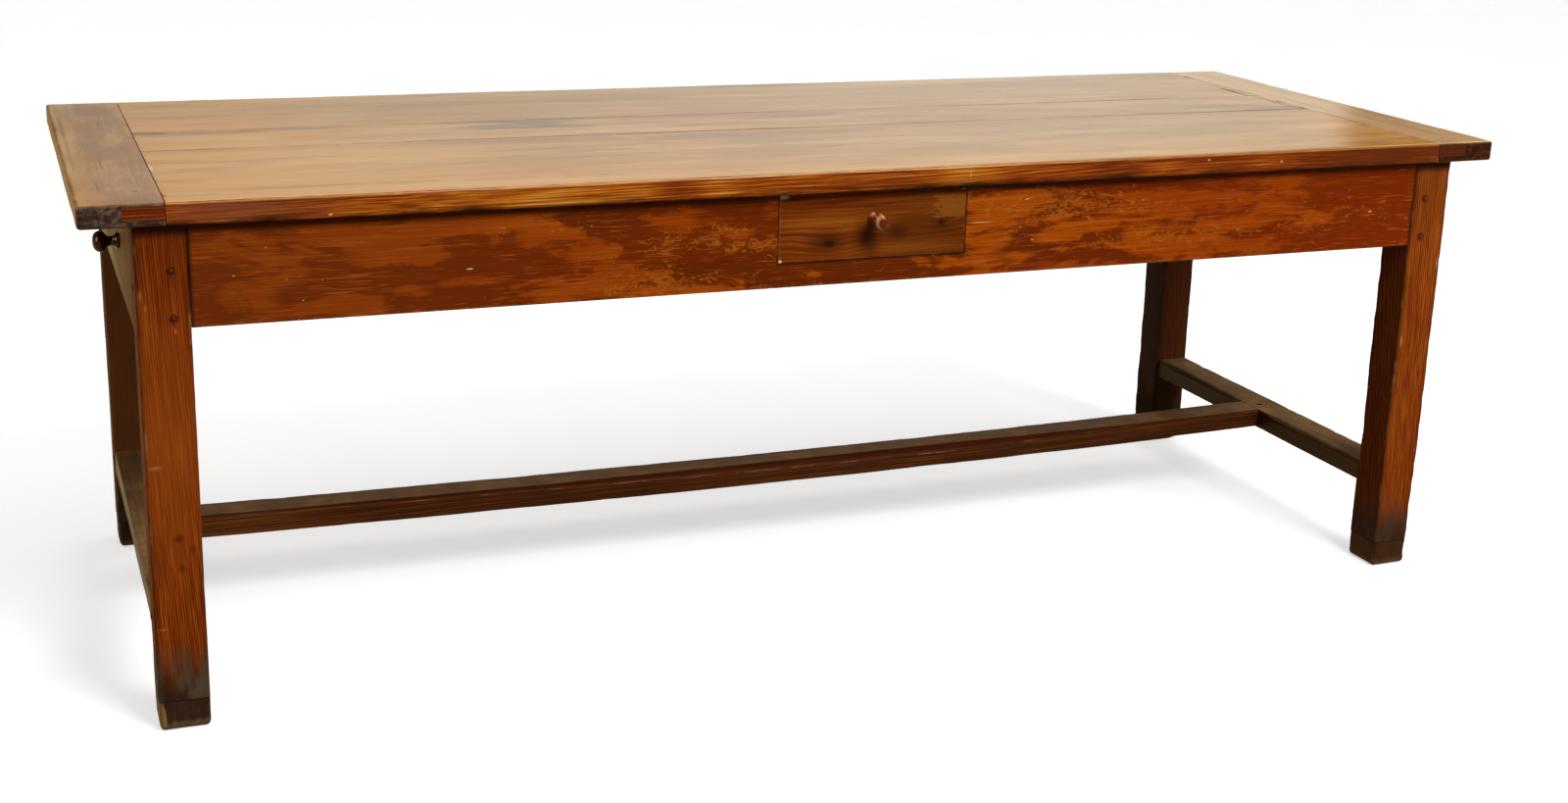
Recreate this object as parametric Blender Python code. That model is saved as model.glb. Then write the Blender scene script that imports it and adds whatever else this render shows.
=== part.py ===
"""A long wooden work table with an H stretcher, breadboard ends and two drawers.

Lengths are in metres. X runs along the table, -Y is its front and Z is up. The pieces are laid out about the
middle of the legs. The origin is on the floor, below the middle of the space that the table takes up.
"""
from collections import namedtuple
from math import acos, cos, pi, radians, sin

import bmesh
import bpy
from mathutils import Matrix, Vector

# Fits and tool sizes
GAP = 0.0003
OVERRUN = 0.003

# The top: three planks with tongued ends in two cleats
TOP_HEIGHT = 0.770
TOP_LENGTH = 2.298
TOP_WIDTH = 0.852
TOP_THICKNESS = 0.034
TOP_ARRIS = 0.004
CLEAT_WIDTH = 0.113
FRONT_PLANK_WIDTH = 0.376
MIDDLE_PLANK_WIDTH = 0.160
TONGUE_LENGTH = 0.056
TONGUE_THICKNESS = 0.0165
LIP_ABOVE_TONGUE = 0.006

# Legs and the blocks tipped on to them
END_OVERHANG = 0.070
SIDE_OVERHANG = 0.0155
LEG_SIZE = 0.071
LEG_ARRIS = 0.003
FOOT_HEIGHT = 0.046
FOOT_WEAR = 0.008
FOOT_TENON_SIZE = 0.030
FOOT_TENON_LENGTH = 0.025

# Rails under the top
RAIL_THICKNESS = 0.027
RAIL_SETBACK = 0.001
RAIL_ARRIS = 0.0015
RAIL_TENON_THICKNESS = 0.011
TENON_LOWER_SHOULDER = 0.006
TENON_UPPER_SHOULDER = 0.020
WALL_BETWEEN_TENONS = 0.005
LONG_RAIL_BELOW_DRAWER = 0.038
END_RAIL_BELOW_DRAWER = 0.031

# Stretchers
STRETCHER_BOTTOM = 0.141
STRETCHER_HEIGHT = 0.037
STRETCHER_ARRIS = 0.002
CROSS_WIDTH = 0.064
CROSS_TENON_LENGTH = 0.045
CROSS_TENON_WIDTH = 0.024
CROSS_TENON_SHOULDER = 0.005
LONG_WIDTH = 0.061
LONG_OFFSET = 0.0075
LONG_TENON_LENGTH = 0.042
LONG_TENON_WIDTH = 0.040
LONG_TENON_HEIGHT = 0.014
PLANED_LENGTH = 0.193
PLANED_DEPTH = 0.003

# Pegs
PEG_DIAMETER = 0.009
PEG_LENGTH = 0.045
PEG_PROUD = 0.0005
PEG_FROM_SHOULDER = 0.023
PEG_ABOVE_RAIL_BOTTOM = 0.016
PEG_SPACING = 0.0665
JUNCTION_PEG_LENGTH = 0.028
PEG_FACETS = 12

# Blocks glued under the top
GLUE_BLOCK_SIZE = 0.028
GLUE_BLOCK_LENGTH = 0.120
GLUE_BLOCK_FROM_LEG = 0.340

# Drawers
DRAWER_TOP_GAP = 0.002
DRAWER_SIDE_GAP = 0.0006
DRAWER_FRONT_THICKNESS = 0.022
DRAWER_SIDE_THICKNESS = 0.012
DRAWER_BACK_THICKNESS = 0.012
DRAWER_BOTTOM_THICKNESS = 0.008
DRAWER_ARRIS = 0.001
DRAWER_SIDE_INSET = 0.001
DRAWER_SIDE_DROP = 0.004
DRAWER_BACK_DROP = 0.006
DRAWER_BACK_SETBACK = 0.010
GROOVE_RISE = 0.010
GROOVE_DEPTH = 0.006
HOUSING_DEPTH = 0.005
TAIL_LENGTH = 0.014
TAIL_COUNT = 2
TAIL_TIP_SHARE = 0.50
TAIL_ROOT_SHARE = 0.34
FRONT_DRAWER_WIDTH = 0.310
FRONT_DRAWER_HEIGHT = 0.105
FRONT_DRAWER_DEPTH = 0.480
END_DRAWER_WIDTH = 0.420
END_DRAWER_HEIGHT = 0.129
END_DRAWER_DEPTH = 0.540

# Bars that carry the drawers
LEDGE_WIDTH = 0.014
LEDGE_THICKNESS = 0.018
GUIDE_THICKNESS = 0.020
GUIDE_HEIGHT = 0.040
STUB_LENGTH = 0.008
STUB_INSET = 0.004

# Knobs
FRONT_KNOB_RISE = 0.062
FRONT_KNOB_REACH = 0.040
FRONT_KNOB_RADIUS = 0.0137
FRONT_KNOB_HEAD = 0.019
FRONT_KNOB_BASE_RADIUS = 0.0105
FRONT_KNOB_NECK_RADIUS = 0.0062
END_KNOB_RISE = 0.050
END_KNOB_OFFSET = 0.130
END_KNOB_REACH = 0.0375
END_KNOB_RADIUS = 0.0158
END_KNOB_HEAD = 0.017
END_KNOB_BASE_RADIUS = 0.0120
END_KNOB_NECK_RADIUS = 0.0070
KNOB_BASE_THICKNESS = 0.0045
KNOB_SPIGOT_RADIUS = 0.0050
KNOB_SPIGOT_SHORT = 0.002
KNOB_FACETS = 24
NECK_STEPS = 5
HEAD_STEPS = 7
HEAD_CAP_ANGLE = radians(78)

# Places worked out from the sizes
UNDER_TOP = TOP_HEIGHT - TOP_THICKNESS
LEG_X = TOP_LENGTH / 2 - END_OVERHANG
LEG_Y = TOP_WIDTH / 2 - SIDE_OVERHANG
INNER_X = LEG_X - LEG_SIZE
INNER_Y = LEG_Y - LEG_SIZE
RAIL_FACE_X = LEG_X - RAIL_SETBACK
RAIL_FACE_Y = LEG_Y - RAIL_SETBACK
FRONT_DRAWER_BOTTOM = UNDER_TOP - DRAWER_TOP_GAP - FRONT_DRAWER_HEIGHT
END_DRAWER_BOTTOM = UNDER_TOP - DRAWER_TOP_GAP - END_DRAWER_HEIGHT
LONG_RAIL_BOTTOM = FRONT_DRAWER_BOTTOM - LONG_RAIL_BELOW_DRAWER
END_RAIL_BOTTOM = END_DRAWER_BOTTOM - END_RAIL_BELOW_DRAWER
RAIL_TENON_LENGTH = LEG_SIZE - RAIL_SETBACK - (RAIL_THICKNESS + RAIL_TENON_THICKNESS) / 2 - WALL_BETWEEN_TENONS
CROSS_X = RAIL_FACE_X - CROSS_WIDTH / 2
CROSS_INNER_X = RAIL_FACE_X - CROSS_WIDTH
STRETCHER_TOP = STRETCHER_BOTTOM + STRETCHER_HEIGHT
STRETCHER_MIDDLE = STRETCHER_BOTTOM + STRETCHER_HEIGHT / 2
PEG_RADIUS = PEG_DIAMETER / 2
GUIDE_TOP = FRONT_DRAWER_BOTTOM + GUIDE_HEIGHT
FRONT_REACH = max(TOP_WIDTH / 2, RAIL_FACE_Y + GAP + FRONT_KNOB_REACH)
MIDDLE_SHIFT = (FRONT_REACH - TOP_WIDTH / 2) / 2

ENDS = (("left", -1), ("right", 1))
SIDES = (("front", -1), ("rear", 1))

Drawer = namedtuple("Drawer", "name width height depth bottom knob_offsets knob")
Knob = namedtuple("Knob", "rise reach radius head base_radius neck_radius")
FRONT_DRAWER = Drawer(
    "front_drawer", FRONT_DRAWER_WIDTH, FRONT_DRAWER_HEIGHT, FRONT_DRAWER_DEPTH, FRONT_DRAWER_BOTTOM,
    {"front_knob": 0.0},
    Knob(FRONT_KNOB_RISE, FRONT_KNOB_REACH, FRONT_KNOB_RADIUS, FRONT_KNOB_HEAD,
         FRONT_KNOB_BASE_RADIUS, FRONT_KNOB_NECK_RADIUS))
END_DRAWER = Drawer(
    "end_drawer", END_DRAWER_WIDTH, END_DRAWER_HEIGHT, END_DRAWER_DEPTH, END_DRAWER_BOTTOM,
    {"end_knob_front": END_KNOB_OFFSET, "end_knob_rear": -END_KNOB_OFFSET},
    Knob(END_KNOB_RISE, END_KNOB_REACH, END_KNOB_RADIUS, END_KNOB_HEAD,
         END_KNOB_BASE_RADIUS, END_KNOB_NECK_RADIUS))

# Shapes


def span(sign, near, far):
    """Low and high coordinate of a stretch from near to far, on one side of the middle."""
    return (near, far) if sign > 0 else (-far, -near)


def rectangle(low_a, low_b, high_a, high_b):
    return [(low_a, low_b), (high_a, low_b), (high_a, high_b), (low_a, high_b)]


def circle(middle_a, middle_b, radius, facets):
    turns = [2 * pi * step / facets for step in range(facets)]
    return [(middle_a + radius * cos(turn), middle_b + radius * sin(turn)) for turn in turns]


def prism(outline, axis, start, end):
    """Carry an outline, anticlockwise about the axis, from start to end along it, and close both ends."""
    first, second, along = {"x": (1, 2, 0), "y": (2, 0, 1), "z": (0, 1, 2)}[axis]
    points = []
    for place in (start, end):
        for a, b in outline:
            point = [0.0, 0.0, 0.0]
            point[first] = a
            point[second] = b
            point[along] = place
            points.append(point)
    count = len(outline)
    faces = [list(reversed(range(count))), [count + step for step in range(count)]]
    for step in range(count):
        after = (step + 1) % count
        faces.append([step, after, count + after, count + step])
    return points, faces


def block(low, high):
    return prism(rectangle(low[0], low[1], high[0], high[1]), "z", low[2], high[2])


def grown(corners):
    """A box with the fitting gap added all round."""
    low, high = corners
    return [value - GAP for value in low], [value + GAP for value in high]


def rooted(corners, axis, sign):
    """Run a box back past its root, which is the end away from the way that it points."""
    low, high = list(corners[0]), list(corners[1])
    if sign > 0:
        low[axis] -= OVERRUN
    else:
        high[axis] += OVERRUN
    return block(low, high)


def turned(profile, facets):
    """Turn a profile of (radius, height) points about Z and close its two ends."""
    points = []
    for radius, height in profile:
        points += [[a, b, height] for a, b in circle(0.0, 0.0, radius, facets)]
    faces = [list(reversed(range(facets)))]
    for ring in range(len(profile) - 1):
        for step in range(facets):
            after = (step + 1) % facets
            here, above = ring * facets, (ring + 1) * facets
            faces.append([here + step, here + after, above + after, above + step])
    faces.append([(len(profile) - 1) * facets + step for step in range(facets)])
    return points, faces


def mesh_of(name, shapes):
    """One mesh that holds each of the closed shapes."""
    points, faces = [], []
    for shape_points, shape_faces in shapes:
        faces += [[index + len(points) for index in face] for face in shape_faces]
        points += shape_points
    mesh = bpy.data.meshes.new(name)
    mesh.from_pydata(points, [], faces)
    mesh.validate()
    return mesh


# Objects


def link(name, mesh, parent):
    item = bpy.data.objects.new(name, mesh)
    bpy.context.scene.collection.objects.link(item)
    item.parent = parent
    return item


def wood(name, colour, roughness):
    """A waxed or bare timber, by its own colour."""
    material = bpy.data.materials.new(name)
    material.use_nodes = True
    shader = material.node_tree.nodes["Principled BSDF"]
    shader.inputs["Base Color"].default_value = (*colour, 1.0)
    shader.inputs["Roughness"].default_value = roughness
    shader.inputs["Metallic"].default_value = 0.0
    return material


def sides_of(edge):
    """Names of the two sides that an edge lies on, of a box about its own middle."""
    names = set()
    for axis, letter in enumerate("xyz"):
        places = [vertex.co[axis] for vertex in edge.verts]
        if max(places) < 0:
            names.add("-" + letter)
        elif min(places) > 0:
            names.add("+" + letter)
    return names


def ease(shape, edges, width, steps):
    bmesh.ops.bevel(shape, geom=edges, offset=width, segments=steps, profile=0.5, affect="EDGES")


def board(name, low, high, material, parent, arris=DRAWER_ARRIS, tight=(), steps=1, bottom_wear=0.0):
    """A board between two corners, with its origin at its middle.

    Its edges are eased by the arris, except where they touch a tight side, which meets a neighbour. A foot's
    bottom edges are rounded by their own wear instead.
    """
    size = Vector(high) - Vector(low)
    shape = bmesh.new()
    bmesh.ops.create_cube(shape, size=1.0, matrix=Matrix.Diagonal(size.to_4d()))
    kept = set(tight) | ({"-z"} if bottom_wear else set())
    ease(shape, [edge for edge in shape.edges if not sides_of(edge) & kept], arris, steps)
    if bottom_wear:
        floor = min(vertex.co.z for vertex in shape.verts)
        rim = [edge for edge in shape.edges if all(vertex.co.z == floor for vertex in edge.verts)]
        ease(shape, rim, bottom_wear, steps)
    mesh = bpy.data.meshes.new(name)
    shape.to_mesh(mesh)
    shape.free()
    mesh.materials.append(material)
    item = link(name, mesh, parent)
    item.location = (Vector(low) + Vector(high)) / 2
    return item


def shape_with(item, operation, shapes, parent=None):
    """Add closed shapes to an object, or cut them from it, with a Boolean modifier that stays live."""
    name = f"{item.name}_tool_{len(item.modifiers) + 1}"
    tool = link(name, mesh_of(name, shapes), parent or item.parent)
    tool.hide_render = True
    tool.display_type = "WIRE"
    modifier = item.modifiers.new(name, "BOOLEAN")
    modifier.operation = operation
    modifier.solver = "EXACT"
    modifier.object = tool


def empty(name, location, parent=None, turn=0.0):
    item = link(name, None, parent)
    item.location = location
    item.rotation_euler = (0.0, 0.0, turn)
    return item


# Joints between the pieces, each stated once


def long_rail_tenon(end, side):
    low_x, high_x = span(end, INNER_X, INNER_X + RAIL_TENON_LENGTH)
    middle = side * (RAIL_FACE_Y - RAIL_THICKNESS / 2)
    half = RAIL_TENON_THICKNESS / 2
    return ((low_x, middle - half, LONG_RAIL_BOTTOM + TENON_LOWER_SHOULDER),
            (high_x, middle + half, UNDER_TOP - TENON_UPPER_SHOULDER))


def end_rail_tenon(end, side):
    low_y, high_y = span(side, INNER_Y, INNER_Y + RAIL_TENON_LENGTH)
    middle = end * (RAIL_FACE_X - RAIL_THICKNESS / 2)
    half = RAIL_TENON_THICKNESS / 2
    return ((middle - half, low_y, END_RAIL_BOTTOM + TENON_LOWER_SHOULDER),
            (middle + half, high_y, UNDER_TOP - TENON_UPPER_SHOULDER))


def cross_tenon(end, side):
    low_y, high_y = span(side, INNER_Y, INNER_Y + CROSS_TENON_LENGTH)
    half = CROSS_TENON_WIDTH / 2
    return ((end * CROSS_X - half, low_y, STRETCHER_BOTTOM + CROSS_TENON_SHOULDER),
            (end * CROSS_X + half, high_y, STRETCHER_TOP - CROSS_TENON_SHOULDER))


def long_stretcher_tenon(end):
    low_x, high_x = span(end, CROSS_INNER_X, CROSS_INNER_X + LONG_TENON_LENGTH)
    half_width = LONG_TENON_WIDTH / 2
    half_height = LONG_TENON_HEIGHT / 2
    return ((low_x, LONG_OFFSET - half_width, STRETCHER_MIDDLE - half_height),
            (high_x, LONG_OFFSET + half_width, STRETCHER_MIDDLE + half_height))


def foot_tenon(end, side):
    middle_x = end * (LEG_X - LEG_SIZE / 2)
    middle_y = side * (LEG_Y - LEG_SIZE / 2)
    half = FOOT_TENON_SIZE / 2
    return ((middle_x - half, middle_y - half, FOOT_HEIGHT - FOOT_TENON_LENGTH),
            (middle_x + half, middle_y + half, FOOT_HEIGHT))


def peg_lines():
    """Name of each peg to its axis, the two other coordinates of that axis, its outer end and its inner end."""
    lines = {}
    for end_name, end in ENDS:
        peg_x = end * (INNER_X + PEG_FROM_SHOULDER)
        for side_name, side in SIDES:
            corner = f"{side_name}_{end_name}"
            peg_y = side * (INNER_Y + PEG_FROM_SHOULDER)
            lower = LONG_RAIL_BOTTOM + PEG_ABOVE_RAIL_BOTTOM
            for level, height in (("lower", lower), ("upper", lower + PEG_SPACING)):
                outer = side * (LEG_Y + PEG_PROUD)
                lines[f"peg_{corner}_{level}"] = ("y", height, peg_x, outer, outer - side * PEG_LENGTH)
            outer = end * (LEG_X + PEG_PROUD)
            inner = outer - end * PEG_LENGTH
            lines[f"peg_{corner}_end_rail"] = ("x", peg_y, lower + PEG_SPACING / 2, outer, inner)
            lines[f"peg_{corner}_stretcher"] = ("x", peg_y, STRETCHER_MIDDLE, outer, inner)
        outer = STRETCHER_TOP + PEG_PROUD
        junction_x = end * (CROSS_INNER_X + PEG_FROM_SHOULDER)
        lines[f"peg_junction_{end_name}"] = ("z", junction_x, LONG_OFFSET, outer, outer - JUNCTION_PEG_LENGTH)
    return lines


PEGS = peg_lines()


def peg_bore(name):
    """The hole for a peg: larger by the gap, run out past the face that the peg enters by."""
    axis, a, b, outer, inner = PEGS[name]
    inward = 1 if inner > outer else -1
    low, high = sorted((outer - inward * OVERRUN, inner + inward * GAP))
    return prism(circle(a, b, PEG_RADIUS + GAP, PEG_FACETS), axis, low, high)


# The pieces


def build_pegs(base, material):
    for name, (axis, a, b, outer, inner) in PEGS.items():
        low, high = sorted((outer, inner))
        mesh = mesh_of(name, [prism(circle(a, b, PEG_RADIUS, PEG_FACETS), axis, low, high)])
        mesh.materials.append(material)
        mesh.shade_smooth()
        mesh.set_sharp_from_angle(angle=radians(40))
        link(name, mesh, base)


def build_top(base, plank_wood, cleat_wood):
    joint_x = TOP_LENGTH / 2 - CLEAT_WIDTH
    tongue_top = TOP_HEIGHT - LIP_ABOVE_TONGUE
    tongue_bottom = tongue_top - TONGUE_THICKNESS
    front = -TOP_WIDTH / 2
    first_seam = front + FRONT_PLANK_WIDTH
    second_seam = first_seam + MIDDLE_PLANK_WIDTH
    planks = (
        ("plank_front", front, first_seam - GAP / 2, ("-x", "+x", "+y")),
        ("plank_middle", first_seam + GAP / 2, second_seam - GAP / 2, ("-x", "+x", "-y", "+y")),
        ("plank_rear", second_seam + GAP / 2, TOP_WIDTH / 2, ("-x", "+x", "-y")))
    for name, low_y, high_y, tight in planks:
        item = board(name, (-joint_x + GAP, low_y, UNDER_TOP), (joint_x - GAP, high_y, TOP_HEIGHT),
                     plank_wood, base, TOP_ARRIS, tight, 2)
        tongues = []
        for _, end in ENDS:
            low_x, high_x = span(end, joint_x - GAP, joint_x + TONGUE_LENGTH - GAP)
            tongues.append(rooted(((low_x, low_y, tongue_bottom), (high_x, high_y, tongue_top)), 0, end))
        shape_with(item, "UNION", tongues)
    for end_name, end in ENDS:
        low_x, high_x = span(end, joint_x, TOP_LENGTH / 2)
        item = board(f"cleat_{end_name}", (low_x, front, UNDER_TOP), (high_x, -front, TOP_HEIGHT),
                     cleat_wood, base, TOP_ARRIS, ("-x",) if end > 0 else ("+x",), 2)
        groove_x = span(end, joint_x, joint_x + TONGUE_LENGTH)
        groove = ((groove_x[0], front - OVERRUN, tongue_bottom - GAP),
                  (groove_x[1], OVERRUN - front, tongue_top + GAP))
        shape_with(item, "DIFFERENCE", [rooted(groove, 0, end)])


def build_legs(base, leg_wood, foot_wood):
    for end_name, end in ENDS:
        for side_name, side in SIDES:
            corner = f"{side_name}_{end_name}"
            low_x, high_x = span(end, INNER_X, LEG_X)
            low_y, high_y = span(side, INNER_Y, LEG_Y)
            leg = board(f"leg_{corner}", (low_x, low_y, FOOT_HEIGHT + GAP), (high_x, high_y, UNDER_TOP - GAP),
                        leg_wood, base, LEG_ARRIS, ("-z", "+z"), 2)
            low, high = foot_tenon(end, side)
            shape_with(leg, "UNION", [block(low, (high[0], high[1], high[2] + OVERRUN))])
            shape_with(leg, "DIFFERENCE", [
                rooted(grown(long_rail_tenon(end, side)), 0, end),
                rooted(grown(end_rail_tenon(end, side)), 1, side),
                rooted(grown(cross_tenon(end, side)), 1, side)])
            shape_with(leg, "DIFFERENCE", [peg_bore(f"peg_{corner}_{joint}")
                                           for joint in ("lower", "upper", "end_rail", "stretcher")])
            foot = board(f"foot_{corner}", (low_x, low_y, 0.0), (high_x, high_y, FOOT_HEIGHT),
                         foot_wood, base, LEG_ARRIS, ("+z",), 2, FOOT_WEAR)
            shape_with(foot, "DIFFERENCE", [rooted(grown((low, high)), 2, -1)])


def build_rails(base, rail_wood):
    """Two long rails and two end rails, returned by name so that the bays can be cut into them."""
    rails = {}
    top = UNDER_TOP - GAP
    for side_name, side in SIDES:
        name = f"apron_{side_name}"
        low_y, high_y = span(side, RAIL_FACE_Y - RAIL_THICKNESS, RAIL_FACE_Y)
        length = INNER_X - GAP
        rails[name] = board(name, (-length, low_y, LONG_RAIL_BOTTOM), (length, high_y, top),
                            rail_wood, base, RAIL_ARRIS, ("-x", "+x"))
        tenons = [rooted(long_rail_tenon(end, side), 0, end) for _, end in ENDS]
        bores = [peg_bore(f"peg_{side_name}_{end_name}_{level}")
                 for end_name, _ in ENDS for level in ("lower", "upper")]
        shape_with(rails[name], "UNION", tenons)
        shape_with(rails[name], "DIFFERENCE", bores)
    for end_name, end in ENDS:
        name = f"apron_{end_name}"
        low_x, high_x = span(end, RAIL_FACE_X - RAIL_THICKNESS, RAIL_FACE_X)
        length = INNER_Y - GAP
        rails[name] = board(name, (low_x, -length, END_RAIL_BOTTOM), (high_x, length, top),
                            rail_wood, base, RAIL_ARRIS, ("-y", "+y"))
        tenons = [rooted(end_rail_tenon(end, side), 1, side) for _, side in SIDES]
        bores = [peg_bore(f"peg_{side_name}_{end_name}_end_rail") for side_name, _ in SIDES]
        shape_with(rails[name], "UNION", tenons)
        shape_with(rails[name], "DIFFERENCE", bores)
    return rails


def build_stretchers(base, stretcher_wood):
    for end_name, end in ENDS:
        low_x, high_x = span(end, CROSS_INNER_X, RAIL_FACE_X)
        length = INNER_Y - GAP
        cross = board(f"cross_stretcher_{end_name}", (low_x, -length, STRETCHER_BOTTOM),
                      (high_x, length, STRETCHER_TOP), stretcher_wood, base, STRETCHER_ARRIS, ("-y", "+y"))
        tenons = [rooted(cross_tenon(end, side), 1, side) for _, side in SIDES]
        bores = [peg_bore(f"peg_{side_name}_{end_name}_stretcher") for side_name, _ in SIDES]
        shape_with(cross, "UNION", tenons)
        shape_with(cross, "DIFFERENCE", bores + [rooted(grown(long_stretcher_tenon(end)), 0, end)])
        shape_with(cross, "DIFFERENCE", [peg_bore(f"peg_junction_{end_name}")])
    length = CROSS_INNER_X - GAP
    half = LONG_WIDTH / 2
    long_one = board("long_stretcher", (-length, LONG_OFFSET - half, STRETCHER_BOTTOM),
                     (length, LONG_OFFSET + half, STRETCHER_TOP),
                     stretcher_wood, base, STRETCHER_ARRIS, ("-x", "+x"))
    shape_with(long_one, "UNION", [rooted(long_stretcher_tenon(end), 0, end) for _, end in ENDS])
    shape_with(long_one, "DIFFERENCE", [peg_bore(f"peg_junction_{end_name}") for end_name, _ in ENDS])
    planed = block((length - PLANED_LENGTH, LONG_OFFSET - half - OVERRUN, STRETCHER_BOTTOM - OVERRUN),
                   (length + OVERRUN, LONG_OFFSET + half + OVERRUN, STRETCHER_BOTTOM + PLANED_DEPTH))
    shape_with(long_one, "DIFFERENCE", [planed])


def build_glue_blocks(base, material):
    face_y = RAIL_FACE_Y - RAIL_THICKNESS - GAP
    outer_x = INNER_X - GLUE_BLOCK_FROM_LEG
    top = UNDER_TOP - GAP
    for end_name, end in ENDS:
        for side_name, side in SIDES:
            low_x, high_x = span(end, outer_x - GLUE_BLOCK_LENGTH, outer_x)
            low_y, high_y = span(side, face_y - GLUE_BLOCK_SIZE, face_y)
            board(f"glue_block_{side_name}_{end_name}", (low_x, low_y, top - GLUE_BLOCK_SIZE),
                  (high_x, high_y, top), material, base, RAIL_ARRIS)


def bar_span(drawer, sign, inset=0.0):
    """The stretch that a bar's guide takes up, beside its drawer."""
    guide_face = drawer.width / 2 + DRAWER_SIDE_GAP
    return span(sign, guide_face + inset, guide_face + GUIDE_THICKNESS - inset)


def stubs(drawer, sign, far, far_bottom):
    """The stub tenons at the two ends of a bar, as their corners, in the bay's own axes."""
    low_x, high_x = bar_span(drawer, sign, STUB_INSET)
    top = GUIDE_TOP - drawer.bottom - STUB_INSET
    bottom = STUB_INSET - LEDGE_THICKNESS
    near_end = RAIL_THICKNESS + GAP
    near = ((low_x, near_end - STUB_LENGTH, bottom), (high_x, near_end, top))
    distant = ((low_x, far - GAP, max(bottom, far_bottom + STUB_INSET)), (high_x, far - GAP + STUB_LENGTH, top))
    return near, distant


def build_bay(drawer, bay, names, rail, far, far_piece, far_bottom, material):
    """The two rebated bars that carry a drawer, between its rail and a piece at the far end.

    In the bay's own axes the rail's face is at y = 0, y runs inwards, and z = 0 is the drawer's lower edge.
    """
    bars = {}
    half_opening = drawer.width / 2 + DRAWER_SIDE_GAP
    opening = block((-half_opening, -OVERRUN, -DRAWER_SIDE_GAP),
                    (half_opening, RAIL_THICKNESS + OVERRUN, drawer.height + DRAWER_TOP_GAP + OVERRUN))
    shape_with(rail, "DIFFERENCE", [opening], bay)
    top = GUIDE_TOP - drawer.bottom
    near_mortises = []
    far_mortises = []
    for name, sign in names:
        low_x, high_x = span(sign, half_opening - LEDGE_WIDTH, half_opening + GUIDE_THICKNESS)
        near, distant = stubs(drawer, sign, far, far_bottom)
        bar = board(name, (low_x, RAIL_THICKNESS + GAP, -LEDGE_THICKNESS), (high_x, far - GAP, top),
                    material, bay, DRAWER_ARRIS, ("-y", "+y"))
        shape_with(bar, "UNION", [rooted(near, 1, -1), rooted(distant, 1, 1)])
        rebate_x = span(sign, half_opening - LEDGE_WIDTH - OVERRUN, half_opening)
        rebate = block((rebate_x[0], RAIL_THICKNESS - OVERRUN, -GAP),
                       (rebate_x[1], drawer.depth + GAP, top + OVERRUN))
        shape_with(bar, "DIFFERENCE", [rebate])
        near_mortises.append(rooted(grown(near), 1, -1))
        far_mortises.append(rooted(grown(distant), 1, 1))
        bars[name] = bar
    shape_with(rail, "DIFFERENCE", near_mortises, bay)
    shape_with(far_piece, "DIFFERENCE", far_mortises, bay)
    return bars


def tails(drawer, sign, margin):
    """Dovetails at the front end of a drawer side, larger all round by a margin for their sockets."""
    zone_low = GROOVE_RISE + DRAWER_BOTTOM_THICKNESS + 2 * GAP
    zone_high = drawer.height - DRAWER_SIDE_DROP
    pitch = (zone_high - zone_low) / TAIL_COUNT
    tip_half = pitch * TAIL_TIP_SHARE / 2 + margin
    root_half = pitch * TAIL_ROOT_SHARE / 2 + margin
    tip_y = DRAWER_FRONT_THICKNESS - TAIL_LENGTH - margin
    root_y = DRAWER_FRONT_THICKNESS + GAP
    outer = drawer.width / 2 - DRAWER_SIDE_INSET
    low_x, high_x = span(sign, outer - DRAWER_SIDE_THICKNESS - margin, outer + (OVERRUN if margin else 0.0))
    shapes = []
    for step in range(TAIL_COUNT):
        middle = zone_low + (step + 0.5) * pitch
        outline = [(tip_y, middle - tip_half), (root_y, middle - root_half),
                   (root_y + OVERRUN, middle - root_half), (root_y + OVERRUN, middle + root_half),
                   (root_y, middle + root_half), (tip_y, middle + tip_half)]
        shapes.append(prism(outline, "x", low_x, high_x))
    return shapes


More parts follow.
